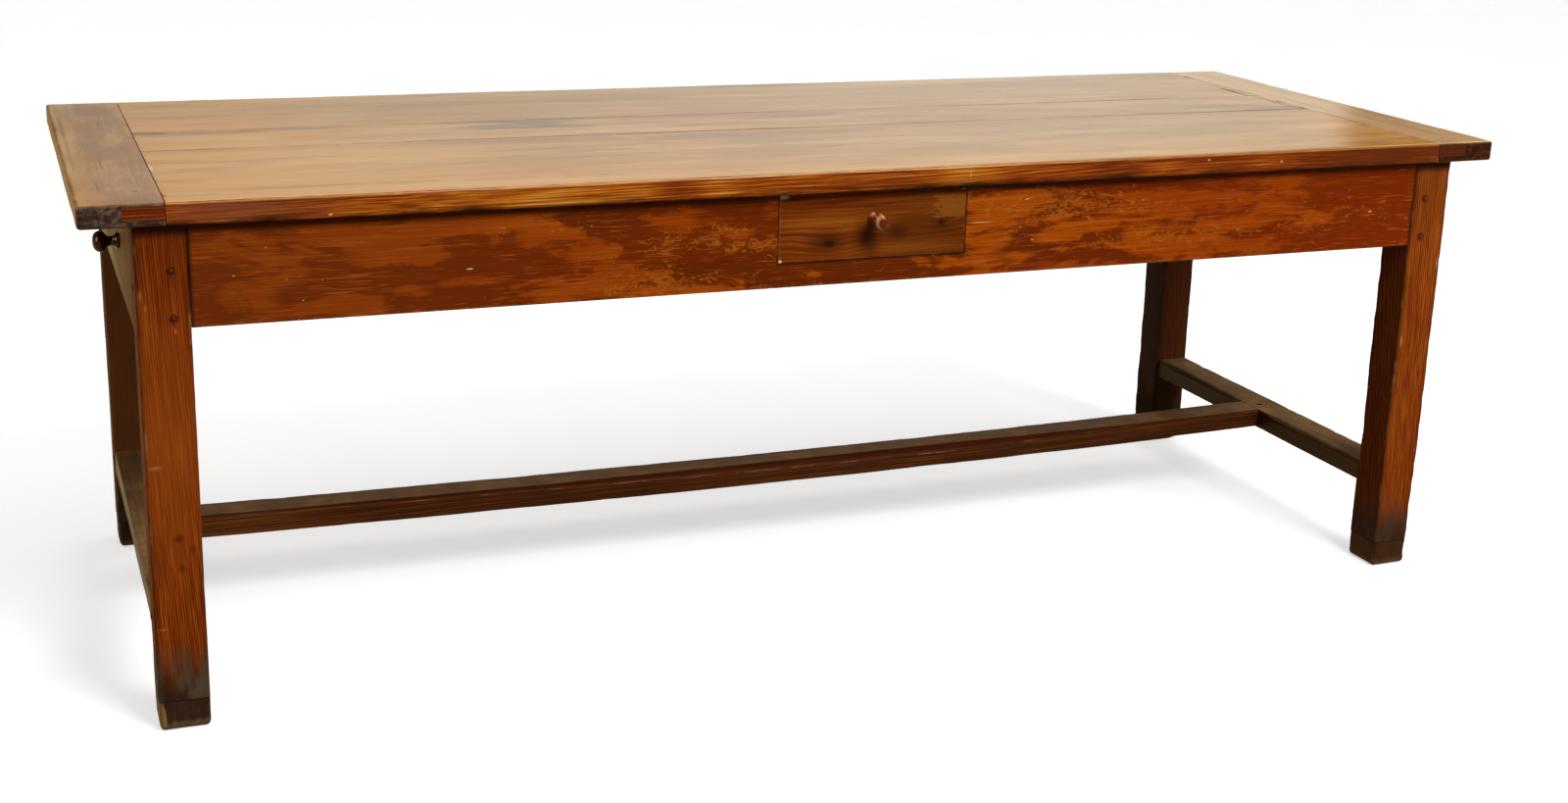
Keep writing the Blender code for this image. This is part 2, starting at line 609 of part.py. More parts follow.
def build_drawer(drawer, slide, side_names, front_wood, box_wood):
    """Front, two dovetailed sides, a housed back and a bottom in grooves."""
    half = drawer.width / 2
    side_outer = half - DRAWER_SIDE_INSET
    side_inner = side_outer - DRAWER_SIDE_THICKNESS
    side_top = drawer.height - DRAWER_SIDE_DROP
    bottom_low = GROOVE_RISE + GAP
    bottom_high = bottom_low + DRAWER_BOTTOM_THICKNESS
    bottom_half = side_inner + GROOVE_DEPTH - GAP
    back_high_y = drawer.depth - DRAWER_BACK_SETBACK
    back_low_y = back_high_y - DRAWER_BACK_THICKNESS
    front = board(f"{drawer.name}_front", (-half, 0.0, 0.0), (half, DRAWER_FRONT_THICKNESS, drawer.height),
                  front_wood, slide, DRAWER_ARRIS)
    front_groove = block(
        (-bottom_half - GAP, DRAWER_FRONT_THICKNESS - GROOVE_DEPTH, GROOVE_RISE),
        (bottom_half + GAP, DRAWER_FRONT_THICKNESS + OVERRUN, bottom_high + GAP))
    knob_bores = [prism(circle(drawer.knob.rise, offset, KNOB_SPIGOT_RADIUS + GAP, PEG_FACETS),
                        "y", -OVERRUN, DRAWER_FRONT_THICKNESS + OVERRUN)
                  for offset in drawer.knob_offsets.values()]
    sockets = tails(drawer, -1, GAP) + tails(drawer, 1, GAP)
    shape_with(front, "DIFFERENCE", [front_groove] + knob_bores + sockets)
    for side_name, sign in side_names:
        low_x, high_x = span(sign, side_inner, side_outer)
        side = board(f"{drawer.name}_side_{side_name}", (low_x, DRAWER_FRONT_THICKNESS + GAP, 0.0),
                     (high_x, drawer.depth, side_top), box_wood, slide, DRAWER_ARRIS, ("-y",))
        shape_with(side, "UNION", tails(drawer, sign, 0.0))
        groove_x = span(sign, side_inner - OVERRUN, side_inner + GROOVE_DEPTH)
        groove = block((groove_x[0], DRAWER_FRONT_THICKNESS - OVERRUN, GROOVE_RISE),
                       (groove_x[1], drawer.depth + OVERRUN, bottom_high + GAP))
        housing_x = span(sign, side_inner - OVERRUN, side_inner + HOUSING_DEPTH)
        housing = block((housing_x[0], back_low_y - GAP, bottom_high),
                        (housing_x[1], back_high_y + GAP, side_top + OVERRUN))
        shape_with(side, "DIFFERENCE", [groove])
        shape_with(side, "DIFFERENCE", [housing])
    back_half = side_inner + HOUSING_DEPTH - GAP
    board(f"{drawer.name}_back", (-back_half, back_low_y, bottom_high + GAP),
          (back_half, back_high_y, side_top - DRAWER_BACK_DROP), box_wood, slide, DRAWER_ARRIS, ("-x", "+x"))
    board(f"{drawer.name}_bottom", (-bottom_half, DRAWER_FRONT_THICKNESS - GROOVE_DEPTH + GAP, bottom_low),
          (bottom_half, drawer.depth, bottom_high), box_wood, slide, DRAWER_ARRIS)


def knob_profile(knob):
    """Spigot, base, a neck that is drawn in as a squared cosine, and a head that is part of an ellipse."""
    spigot_end = KNOB_SPIGOT_SHORT - DRAWER_FRONT_THICKNESS
    neck_end = knob.reach - knob.head
    profile = [(KNOB_SPIGOT_RADIUS, spigot_end), (KNOB_SPIGOT_RADIUS, 0.0), (knob.base_radius, 0.0)]
    for step in range(NECK_STEPS):
        share = step / (NECK_STEPS - 1)
        radius = knob.neck_radius + (knob.base_radius - knob.neck_radius) * cos(pi * share) ** 2
        profile.append((radius, KNOB_BASE_THICKNESS + share * (neck_end - KNOB_BASE_THICKNESS)))
    head_middle = knob.reach - knob.head / 2
    first = -acos(knob.base_radius / knob.radius)
    for step in range(1, HEAD_STEPS + 1):
        angle = first + (HEAD_CAP_ANGLE - first) * step / HEAD_STEPS
        profile.append((knob.radius * cos(angle), head_middle + knob.head / 2 * sin(angle) / sin(HEAD_CAP_ANGLE)))
    return profile


def build_knobs(drawer, slide, material):
    for name, offset in drawer.knob_offsets.items():
        mesh = mesh_of(name, [turned(knob_profile(drawer.knob), KNOB_FACETS)])
        mesh.materials.append(material)
        mesh.shade_smooth()
        mesh.set_sharp_from_angle(angle=radians(40))
        item = link(name, mesh, slide)
        item.location = (offset, -GAP, drawer.knob.rise)
        item.rotation_euler = (pi / 2, 0.0, 0.0)


def build_table():
    """Make every piece under one empty, which stands below the middle of the legs."""
    for item in list(bpy.data.objects):
        bpy.data.objects.remove(item, do_unlink=True)
    top_wood = wood("worn pale top", (0.46, 0.27, 0.12), 0.38)
    cleat_wood = wood("dark cleat", (0.38, 0.22, 0.11), 0.42)
    rail_wood = wood("red brown rail", (0.27, 0.075, 0.012), 0.36)
    leg_wood = wood("brown leg", (0.20, 0.06, 0.014), 0.40)
    foot_wood = wood("scuffed dark foot", (0.055, 0.022, 0.014), 0.62)
    stretcher_wood = wood("dusty stretcher", (0.10, 0.042, 0.020), 0.58)
    peg_wood = wood("dark peg", (0.05, 0.018, 0.008), 0.50)
    drawer_wood = wood("knotty drawer front", (0.16, 0.052, 0.014), 0.40)
    box_wood = wood("bare drawer box", (0.36, 0.20, 0.09), 0.70)
    bar_wood = wood("bare inner bar", (0.30, 0.16, 0.07), 0.75)
    red_wood = wood("glossy red knob", (0.26, 0.028, 0.008), 0.22)
    dark_wood = wood("glossy dark knob", (0.035, 0.010, 0.007), 0.22)

    base = empty("table_middle", (0.0, MIDDLE_SHIFT, 0.0))
    build_top(base, top_wood, cleat_wood)
    build_legs(base, leg_wood, foot_wood)
    rails = build_rails(base, rail_wood)
    build_stretchers(base, stretcher_wood)
    build_pegs(base, peg_wood)
    build_glue_blocks(base, bar_wood)

    front_bay = empty("front_drawer_bay", (0.0, -RAIL_FACE_Y, FRONT_DRAWER_BOTTOM), base)
    front_far = 2 * RAIL_FACE_Y - RAIL_THICKNESS
    front_bars = build_bay(
        FRONT_DRAWER, front_bay, (("front_runner_left", -1), ("front_runner_right", 1)),
        rails["apron_front"], front_far, rails["apron_rear"], -LEDGE_THICKNESS, bar_wood)
    front_slide = empty("front_drawer_slide", (0.0, 0.0, 0.0), front_bay)
    build_drawer(FRONT_DRAWER, front_slide, (("left", -1), ("right", 1)), drawer_wood, box_wood)
    build_knobs(FRONT_DRAWER, front_slide, red_wood)

    end_bay = empty("end_drawer_bay", (-RAIL_FACE_X, 0.0, END_DRAWER_BOTTOM), base, -pi / 2)
    end_far = RAIL_FACE_X - bar_span(FRONT_DRAWER, 1)[1]
    build_bay(
        END_DRAWER, end_bay, (("end_runner_rear", -1), ("end_runner_front", 1)),
        rails["apron_left"], end_far, front_bars["front_runner_left"],
        FRONT_DRAWER_BOTTOM - LEDGE_THICKNESS - END_DRAWER_BOTTOM, bar_wood)
    end_slide = empty("end_drawer_slide", (0.0, 0.0, 0.0), end_bay)
    build_drawer(END_DRAWER, end_slide, (("rear", -1), ("front", 1)), drawer_wood, box_wood)
    build_knobs(END_DRAWER, end_slide, dark_wood)


build_table()
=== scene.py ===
"""The looks of a worn bakery table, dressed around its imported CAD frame.

The planked top, its cleats, the legs, feet, stretchers, pegs and knobs are new surfaces, worked out with numpy
from the places of the CAD nodes that they stand for. The rails, the drawer boxes and the inner bars keep their
CAD shapes and get a timber of their own. Lengths are in metres, -Y is the front and Z is up.
"""
import math

import bmesh
import bpy
import numpy as np
from mathutils import Matrix, Vector


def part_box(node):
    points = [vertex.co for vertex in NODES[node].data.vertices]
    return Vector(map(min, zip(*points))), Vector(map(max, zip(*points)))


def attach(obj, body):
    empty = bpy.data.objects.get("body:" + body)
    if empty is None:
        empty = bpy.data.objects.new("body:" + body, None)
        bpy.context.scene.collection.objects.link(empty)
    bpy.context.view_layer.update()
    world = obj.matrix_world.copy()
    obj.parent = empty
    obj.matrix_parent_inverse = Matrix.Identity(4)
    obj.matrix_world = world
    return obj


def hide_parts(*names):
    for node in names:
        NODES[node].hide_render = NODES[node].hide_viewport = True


bl_info = {
    "name": "Bakery Table",
    "version": (1, 0, 0),
    "blender": (4, 5, 0),
    "location": "3D View > Sidebar > Bakery Table",
    "description": "Dresses the CAD frame of a worn bakery table with timber surfaces and finishes",
    "category": "Object",
}

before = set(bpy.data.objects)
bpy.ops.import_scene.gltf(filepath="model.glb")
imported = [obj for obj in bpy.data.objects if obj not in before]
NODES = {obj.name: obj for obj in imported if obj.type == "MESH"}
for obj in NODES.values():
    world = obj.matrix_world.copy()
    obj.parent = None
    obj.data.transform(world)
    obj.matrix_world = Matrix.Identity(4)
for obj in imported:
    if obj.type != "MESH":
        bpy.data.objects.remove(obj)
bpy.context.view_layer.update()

# Places that the pieces share, read from the frame
TOP_LOW, TOP_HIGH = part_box("cleat_left")[0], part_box("cleat_right")[1]
FRONT_FACE = TOP_LOW.y
TOP_FACE = TOP_HIGH.z
UNDER_TOP = TOP_LOW.z
LEG_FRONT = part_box("leg_front_left")[0].y
JOINT_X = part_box("cleat_right")[0].x
MIDDLE_Y = (TOP_LOW.y + TOP_HIGH.y) / 2
FIRST_SEAM = (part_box("plank_front")[1].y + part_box("plank_middle")[0].y) / 2
SECOND_SEAM = (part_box("plank_middle")[1].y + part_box("plank_rear")[0].y) / 2
TONGUE_LOW, TONGUE_HIGH = UNDER_TOP + 0.0100, TOP_FACE - 0.0050
TONGUE_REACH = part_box("plank_front")[1].x

# The photograph's frame and the camera that was fitted to it
IMAGE_WIDTH, IMAGE_HEIGHT = 1600, 819
FOCAL_PIXELS = 2069.37
AXIS_ROW = 350.0
CAMERA_PLACE = (-1.2606, -3.1624 + MIDDLE_Y, 1.3345)
CAMERA_YAW, CAMERA_PITCH, CAMERA_ROLL = 0.38603, 0.27245, 0.03059
SENSOR_WIDTH = 36.0

# The gap between neighbours, the part of the slab that belongs to its face, and how finely boards are divided
GAP = 0.0003
ARRIS = 0.004
ARC_STEPS, CAP_RINGS = 6, 3
FLOOR_REACH, FLOOR_LINES = 30.0, 13

# The small arrises at a board's two ends, sawn to meet another or eased by hand
SAWN, EASED = (0.0005, 0.0005), (0.0006, 0.0006)

# Heights of the rails' rubbed lower edge and of the dark line over a foot, and how far in front of the top's middle
# the crack runs
RAIL_RIM, FOOT_JOINT, CRACK_DEPTH = 0.592, 0.046, 0.203

# A wave texture's scale for rings of one metre, the stretch of two noises and of the pores, per metre, and the
# outputs of the light path node for camera, glossy and transmitted rays
RING_UNIT = 0.31416
BROAD, CLOUD, PORE = (1.3, 6.5, 6.5), (2.6, 22.0, 22.0), 620.0
LIGHT_PATHS = (0, 3, 6)


def linear(code):
    """Linear red, green and blue of an sRGB hex colour."""
    parts = [int(code[place:place + 2], 16) / 255 for place in (1, 3, 5)]
    return [part / 12.92 if part <= 0.04045 else ((part + 0.055) / 1.055) ** 2.4 for part in parts]


# Sizes and colours that a user may change


class TableWear(bpy.types.PropertyGroup):
    """How far use has worn the table."""
    hollow: bpy.props.FloatProperty(
        name="Plane hollows", description="Depth of the shallow hollows that hand planing left in each face",
        default=0.0005, min=0.0, max=0.002, precision=4, unit="LENGTH")
    edge: bpy.props.FloatProperty(
        name="Edge wear", description="How much larger the rounding of an edge gets where it is most worn",
        default=0.0030, min=0.0, max=0.008, precision=4, unit="LENGTH")
    chip: bpy.props.FloatProperty(
        name="Chips", description="Depth of the dents along the edges",
        default=0.0011, min=0.0, max=0.004, precision=4, unit="LENGTH")
    peg_proud: bpy.props.FloatProperty(
        name="Peg height", description="How far the rounded head of a peg stands out of the wood",
        default=0.0018, min=0.0, max=0.003, precision=4, unit="LENGTH")
    chamfer: bpy.props.FloatProperty(
        name="Stretcher chamfer", description="Width of the stopped chamfer on the stretchers' upper edges",
        default=0.0065, min=0.001, max=0.012, precision=4, unit="LENGTH")


class TableColours(bpy.types.PropertyGroup):
    """The main colour of each timber."""
    __annotations__ = {
        key: bpy.props.FloatVectorProperty(name=name, description=text, default=linear(code),
                                           size=3, min=0.0, max=1.0, subtype="COLOR")
        for key, name, text, code in (
            ("top", "Top", "Waxed planks, worn pale by work", "#C08A52"),
            ("cleat", "Cleats", "Cross boards at the two ends of the top", "#A97A50"),
            ("edge", "Slab edge", "Long grain on the edges of the top", "#8A4614"),
            ("rail", "Rails", "Stained rails under the top", "#84350A"),
            ("leg", "Legs", "Waxed legs", "#7C3A0E"),
            ("foot", "Feet", "Blocks tipped on to the legs", "#33231A"),
            ("stretcher", "Stretchers", "Sides of the stretchers", "#4C2812"),
            ("dust", "Dust", "Dust and scuffs on what faces up", "#7E6040"),
            ("drawer", "Drawer fronts", "Knotty drawer fronts", "#68310D"),
            ("bare", "Bare wood", "Unfinished wood inside", "#9A7448"),
            ("red_knob", "Front knob", "Polished red knob", "#84260A"),
            ("dark_knob", "End knobs", "Polished dark knobs", "#34140C"))}


class StageLook(bpy.types.PropertyGroup):
    """The floor and the light."""
    key: bpy.props.FloatProperty(
        name="Front light", description="Power of the large soft light in front of the table",
        default=235.0, min=0.0, unit="POWER")
    top: bpy.props.FloatProperty(
        name="Overhead light", description="Power of the large soft light over the table",
        default=14.0, min=0.0, unit="POWER")
    dome: bpy.props.FloatProperty(
        name="Dome", description="Strength of the light that comes from all round, strongest from above",
        default=0.38, min=0.0, max=4.0)


# Surfaces


def worn(name):
    """One of the sizes that a user may change."""
    return getattr(bpy.context.scene.table_wear, name)


def corners(node):
    """A node's lowest and highest corner, as arrays of their own."""
    return [np.array(corner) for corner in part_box(node)]


def placed(name, data):
    """A new object in the scene."""
    item = bpy.data.objects.new(name, data)
    bpy.context.scene.collection.objects.link(item)
    return item


def skin(index):
    """Faces between the rows of a grid of points, each of which closes on itself."""
    ahead = np.roll(index, -1, axis=1)
    return np.stack([index[:-1], ahead[:-1], ahead[1:], index[1:]], -1).reshape(-1, 4)


def wave_noise(points, size, seed):
    """Smooth noise of about -1 to 1: the sum of 20 sine waves through space, over the root of half their count.

    Each wave has a seeded direction and phase and a length of 0.6 to 1.7 times the size, which may differ by axis.
    """
    draw = np.random.default_rng(seed)
    ways = draw.normal(size=(20, 3))
    ways /= np.linalg.norm(ways, axis=1, keepdims=True)
    ways /= draw.uniform(0.6, 1.7, (20, 1))
    phases = draw.uniform(0, 2 * np.pi, 20)
    return np.sin((points / np.asarray(size)) @ ways.T * 2 * np.pi + phases).sum(-1) / math.sqrt(10)


def section_outlines(half, radii, flat, side_steps):
    """Rounded rectangles, one for each station, as points and as outward directions, anticlockwise.

    A corner is a quarter circle of its own radius about (half size - radius), moved towards its chord by the share
    flat, so that 0 leaves it round and 1 makes it a chamfer. A side runs straight from one corner to the next.
    """
    turns = np.radians([180, 270, 360, 450])[:, None] + np.linspace(0, np.pi / 2, ARC_STEPS)
    ways = np.stack([np.cos(turns), np.sin(turns)], -1)
    signs = np.array([[-1, -1], [1, -1], [1, 1], [-1, 1]])
    middles = signs * (half[:, None] - radii[..., None])
    arcs = middles[:, :, None] + radii[..., None, None] * ways
    chord = arcs[:, :, :1] + (arcs[:, :, -1:] - arcs[:, :, :1]) * np.linspace(0, 1, ARC_STEPS)[:, None]
    arcs = arcs + (chord - arcs) * np.asarray(flat)[..., None, None]
    shares = (1 - np.cos(np.pi * np.arange(1, side_steps) / side_steps)) / 2
    start, stop = arcs[:, :, -1:], np.roll(arcs[:, :, :1], -1, axis=1)
    sides = start + (stop - start) * shares[:, None]
    side_ways = np.broadcast_to(ways[:, -1:], (4, side_steps - 1, 2))
    points = np.concatenate([arcs, sides], 2).reshape(len(half), -1, 2)
    outward = np.concatenate([ways, side_ways], 1).reshape(-1, 2)
    return points, outward


def edge_distance(points, low, high):
    """Distance of each point on a box's skin to the nearest edge: the second smallest of its distances to the
    three pairs of faces."""
    gaps = np.minimum(points - low, high - points)
    return np.sort(gaps, axis=-1)[..., 1]


def board(low, high, along, arris, end_arris, steps, side_steps=10, wear=None, seed=0, flat=0.0, stop=None,
          dents=(), alter=None, hollow=1.0):
    """One worn board as points, faces and each point's distance to the nearest edge.

    A rounded rectangle is carried along the board. Towards each end it draws in as a quarter circle of the end's
    arris, and then closes in rings to one point. Every point is moved inwards by the plane's hollows, which are
    wave noise of 60 mm across and 300 mm along, by wear that widens the corner radii with noise of 220 and 50 mm,
    and by dents, each a bell of its own place, width and depth.
    """
    low, high = np.array(low, float), np.array(high, float)
    axis = "xyz".index(along)
    first, second = (axis + 1) % 3, (axis + 2) % 3
    size, middle = high - low, (low + high) / 2
    near, far = end_arris
    length = size[axis]
    turn = np.linspace(0, np.pi / 2, ARC_STEPS)
    body = near + (length - near - far) * np.linspace(0, 1, steps)
    still = np.zeros(CAP_RINGS)
    along_places = np.concatenate([still, near * (1 - np.cos(turn))[:-1], body,
                                   length - far * (1 - np.cos(turn[::-1]))[1:], still + length])
    inset = np.concatenate([still + near, near * (1 - np.sin(turn))[:-1], np.zeros(steps),
                            far * (1 - np.sin(turn[::-1]))[1:], still + far])
    lean = np.concatenate([still - np.pi / 2, (turn - np.pi / 2)[:-1], np.zeros(steps),
                           (np.pi / 2 - turn[::-1])[1:], still + np.pi / 2])
    shrink = np.concatenate([np.arange(CAP_RINGS) / CAP_RINGS, np.ones(steps + 2 * ARC_STEPS - 2),
                             np.arange(CAP_RINGS)[::-1] / CAP_RINGS])
    wear = worn("edge") if wear is None else wear
    lines = np.zeros((len(along_places), 4, 3))
    lines[..., axis] = along_places[:, None]
    lines[..., first] = np.array([-1, 1, 1, -1]) * size[first]
    lines[..., second] = np.array([-1, -1, 1, 1]) * size[second]
    uneven = np.clip(wave_noise(lines, 0.22, seed) * 0.6 + wave_noise(lines, 0.05, seed + 1) * 0.4, 0, 2)
    radii = np.asarray(arris, float) + wear * uneven
    if stop is not None:
        radii = radii * stop(low[axis] + along_places)
    half = np.stack([size[first] / 2 - inset, size[second] / 2 - inset], -1)
    radii = np.clip(radii - inset[:, None], GAP, half.min() * 0.9)
    outline, outward = section_outlines(half, radii, flat, side_steps)
    outline = outline * shrink[:, None, None]
    points = np.zeros(outline.shape[:2] + (3,))
    points[..., axis] = low[axis] + along_places[:, None]
    points[..., first] = middle[first] + outline[..., 0]
    points[..., second] = middle[second] + outline[..., 1]
    normals = np.zeros_like(points)
    normals[..., axis] = np.sin(lean)[:, None]
    normals[..., first] = np.cos(lean)[:, None] * outward[:, 0]
    normals[..., second] = np.cos(lean)[:, None] * outward[:, 1]
    sizes = np.full(3, 0.06)
    sizes[axis] = 0.30
    depth = worn("hollow") * hollow * (0.6 + 0.4 * np.clip(wave_noise(points, sizes, seed + 2), -1, 1))
    for place, width, deep in dents:
        depth = depth + deep * np.exp(-(((points - np.array(place)) / np.array(width)) ** 2).sum(-1))
    points = points - normals * depth[..., None]
    if alter is not None:
        points = alter(points)
    near_edge = edge_distance(points, low, high)
    rows, count = points.shape[:2]
    return points.reshape(-1, 3), skin(np.arange(rows * count).reshape(rows, count)), near_edge.reshape(-1)


def turned(profile, facets, origin, axis, oval=0.0):
    """A profile of (radius, height) carried round an axis: each ring is a circle of that radius, made slightly
    uneven by the share oval times the cosine of three turns. A radius of nought closes the shape."""
    turns = np.arange(facets) * 2 * np.pi / facets
    profile = np.asarray(profile, float)
    radius = profile[:, :1] * (1 + oval * np.cos(3 * turns + 0.7) + oval * 0.6 * np.cos(5 * turns))
    ring = np.stack([radius * np.cos(turns), radius * np.sin(turns),
                     np.broadcast_to(profile[:, 1:], radius.shape)], -1)
    spin = np.array(Vector(axis).to_track_quat("Z", "Y").to_matrix())
    points = ring.reshape(-1, 3) @ spin.T + np.array(origin)
    return points, skin(np.arange(len(points)).reshape(-1, facets)), np.repeat(profile[:, 0], facets)


def piece(node, shells, materials, body="table", suffix="_worn"):
    """One object from closed shells, which rides on a body and stands for the CAD node that it is named after, or
    for none where it has no suffix.

    Its points are welded, so that poles close, and an attribute keeps the distance to the nearest edge. Where there
    are two finishes, the first is for faces that reach the table's top and the second for those below its arris.
    """
    name, nodes = node + suffix, [node] if suffix else []
    offsets = np.cumsum([0] + [len(shell[0]) for shell in shells])
    points = np.concatenate([shell[0] for shell in shells])
    faces = np.concatenate([shell[1] + offset for shell, offset in zip(shells, offsets)])
    mesh = bpy.data.meshes.new(name)
    mesh.from_pydata(points.tolist(), [], faces.tolist())
    mesh.attributes.new("edge", "FLOAT", "POINT").data.foreach_set(
        "value", np.concatenate([shell[2] for shell in shells]).astype(np.float32))
    shape = bmesh.new()
    shape.from_mesh(mesh)
    bmesh.ops.remove_doubles(shape, verts=shape.verts, dist=1e-7)
    shape.to_mesh(mesh)
    shape.free()
    mesh.validate()
    for material in materials:
        mesh.materials.append(material)
    if len(materials) > 1:
        middles = np.empty(len(mesh.polygons) * 3)
        mesh.polygons.foreach_get("center", middles)
        mesh.polygons.foreach_set("material_index", (middles[2::3] < TOP_FACE - ARRIS).astype(np.int32))
    mesh.shade_smooth()
    item = placed(name, mesh)
    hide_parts(*nodes)
    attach(item, body)
    return item


def dress(names, material):
    """Gives CAD nodes a timber without touching their shape."""
    for name in names:
        NODES[name].material_slots[0].material = material


def edge_chips(low, high, along, lines, count, seed, deep=None):
    """Dents along a board's edges. Each has a seeded place on one of the lines, which are (first, second) corner
    signs, a size of 3 to 6 mm across and 6 to 20 mm along, and a depth of up to the chip size."""
    draw = np.random.default_rng(seed)
    axis = "xyz".index(along)
    first, second = (axis + 1) % 3, (axis + 2) % 3
    deep = worn("chip") if deep is None else deep
    dents = []
    for _ in range(count):
        signs = lines[draw.integers(len(lines))]
        place, width = np.zeros(3), np.zeros(3)
        place[axis] = draw.uniform(low[axis], high[axis])
        place[first] = (low[first], high[first])[signs[0] > 0]
        place[second] = (low[second], high[second])[signs[1] > 0]
        width[:] = draw.uniform(0.003, 0.006)
        width[axis] = draw.uniform(0.006, 0.020)
        dents.append((place, width, deep * draw.uniform(0.3, 1.0)))
    return dents


# Finishes: each is a node tree in the making, which grows by calls and has its colour laid in layers


# Short names for kinds of node: the kind, its settings, the inputs that values fill in order, and the output
KINDS = {
    "mix": ("Mix", {"data_type": "RGBA"}, (0, 6, 7), 2),
    "between": ("Mix", {"data_type": "FLOAT"}, (0, 2, 3), 0),
    "fade": ("MapRange", {"interpolation_type": "SMOOTHSTEP"}, range(5), 0),
    "range": ("MapRange", {}, range(5), 0),
    "ramp": ("ValToRGB", {}, range(1), 0),
    **{short: ("Math", {"operation": full}, range(3), 0) for short, full in (
        ("times", "MULTIPLY"), ("muladd", "MULTIPLY_ADD"), ("plus", "ADD"), ("minus", "SUBTRACT"),
        ("most", "MAXIMUM"), ("least", "MINIMUM"), ("size", "ABSOLUTE"))}}


def paint(code):
    """A hex colour with an alpha of one."""
    return (*linear(code), 1)


def colour_of(name):
    """One of the colours that a user may change."""
    return (*getattr(bpy.context.scene.table_colours, name), 1)


def on_top(*rows):
    """Spots on the face of the top, from rows of x, y from its middle line, two half sizes and a strength."""
    return [((x, y + MIDDLE_Y, TOP_FACE), (wide, deep, 0.1), strength) for x, y, wide, deep, strength in rows]


def on_front(y, depth, *rows):
    """Spots on an upright face at y, from rows of x, z, half width, half height and a strength."""
    return [((x, y, z), (wide, depth, tall), strength) for x, z, wide, tall, strength in rows]


class Nodes:
    """A node tree in the making. Calling it adds one node."""

    def __init__(self, tree):
        self.tree = tree

    def __call__(self, kind, *inputs, out=None, stops=(), **more):
        """Adds a node by its own kind or by a short one from KINDS, and returns one of its outputs.

        Inputs are values, hex colours or links, in order or by a name with a capital. Small names are settings.
        The stops of a ramp are numbers and colours, or levels of grey, in turn.
        """
        kind, settings, places, first = KINDS.get(kind, (kind, {}, range(9), 0))
        node = self.tree.nodes.new("ShaderNode" + kind)
        filled = list(zip(places, inputs))
        for name, value in {**settings, **more}.items():
            if name[0].isupper():
                filled.append((name.replace("_", " "), value))
            else:
                setattr(node, name, value)
        for place, value in filled:
            if isinstance(value, bpy.types.NodeSocket):
                self.tree.links.new(value, node.inputs[place])
            else:
                node.inputs[place].default_value = paint(value) if isinstance(value, str) else value
        for step, (place, colour) in enumerate(zip(stops[::2], stops[1::2])):
            mark = node.color_ramp.elements[step] if step < 2 else node.color_ramp.elements.new(place)
            mark.position = place
            mark.color = paint(colour) if isinstance(colour, str) else (colour, colour, colour, 1)
        return node.outputs[first if out is None else out]

    def weigh(self, *parts, start=0):
        """The sum of patterns, each times the weight that follows it."""
        for pattern, weight in zip(parts[::2], parts[1::2]):
            start = self("muladd", pattern, weight, start)
        return start


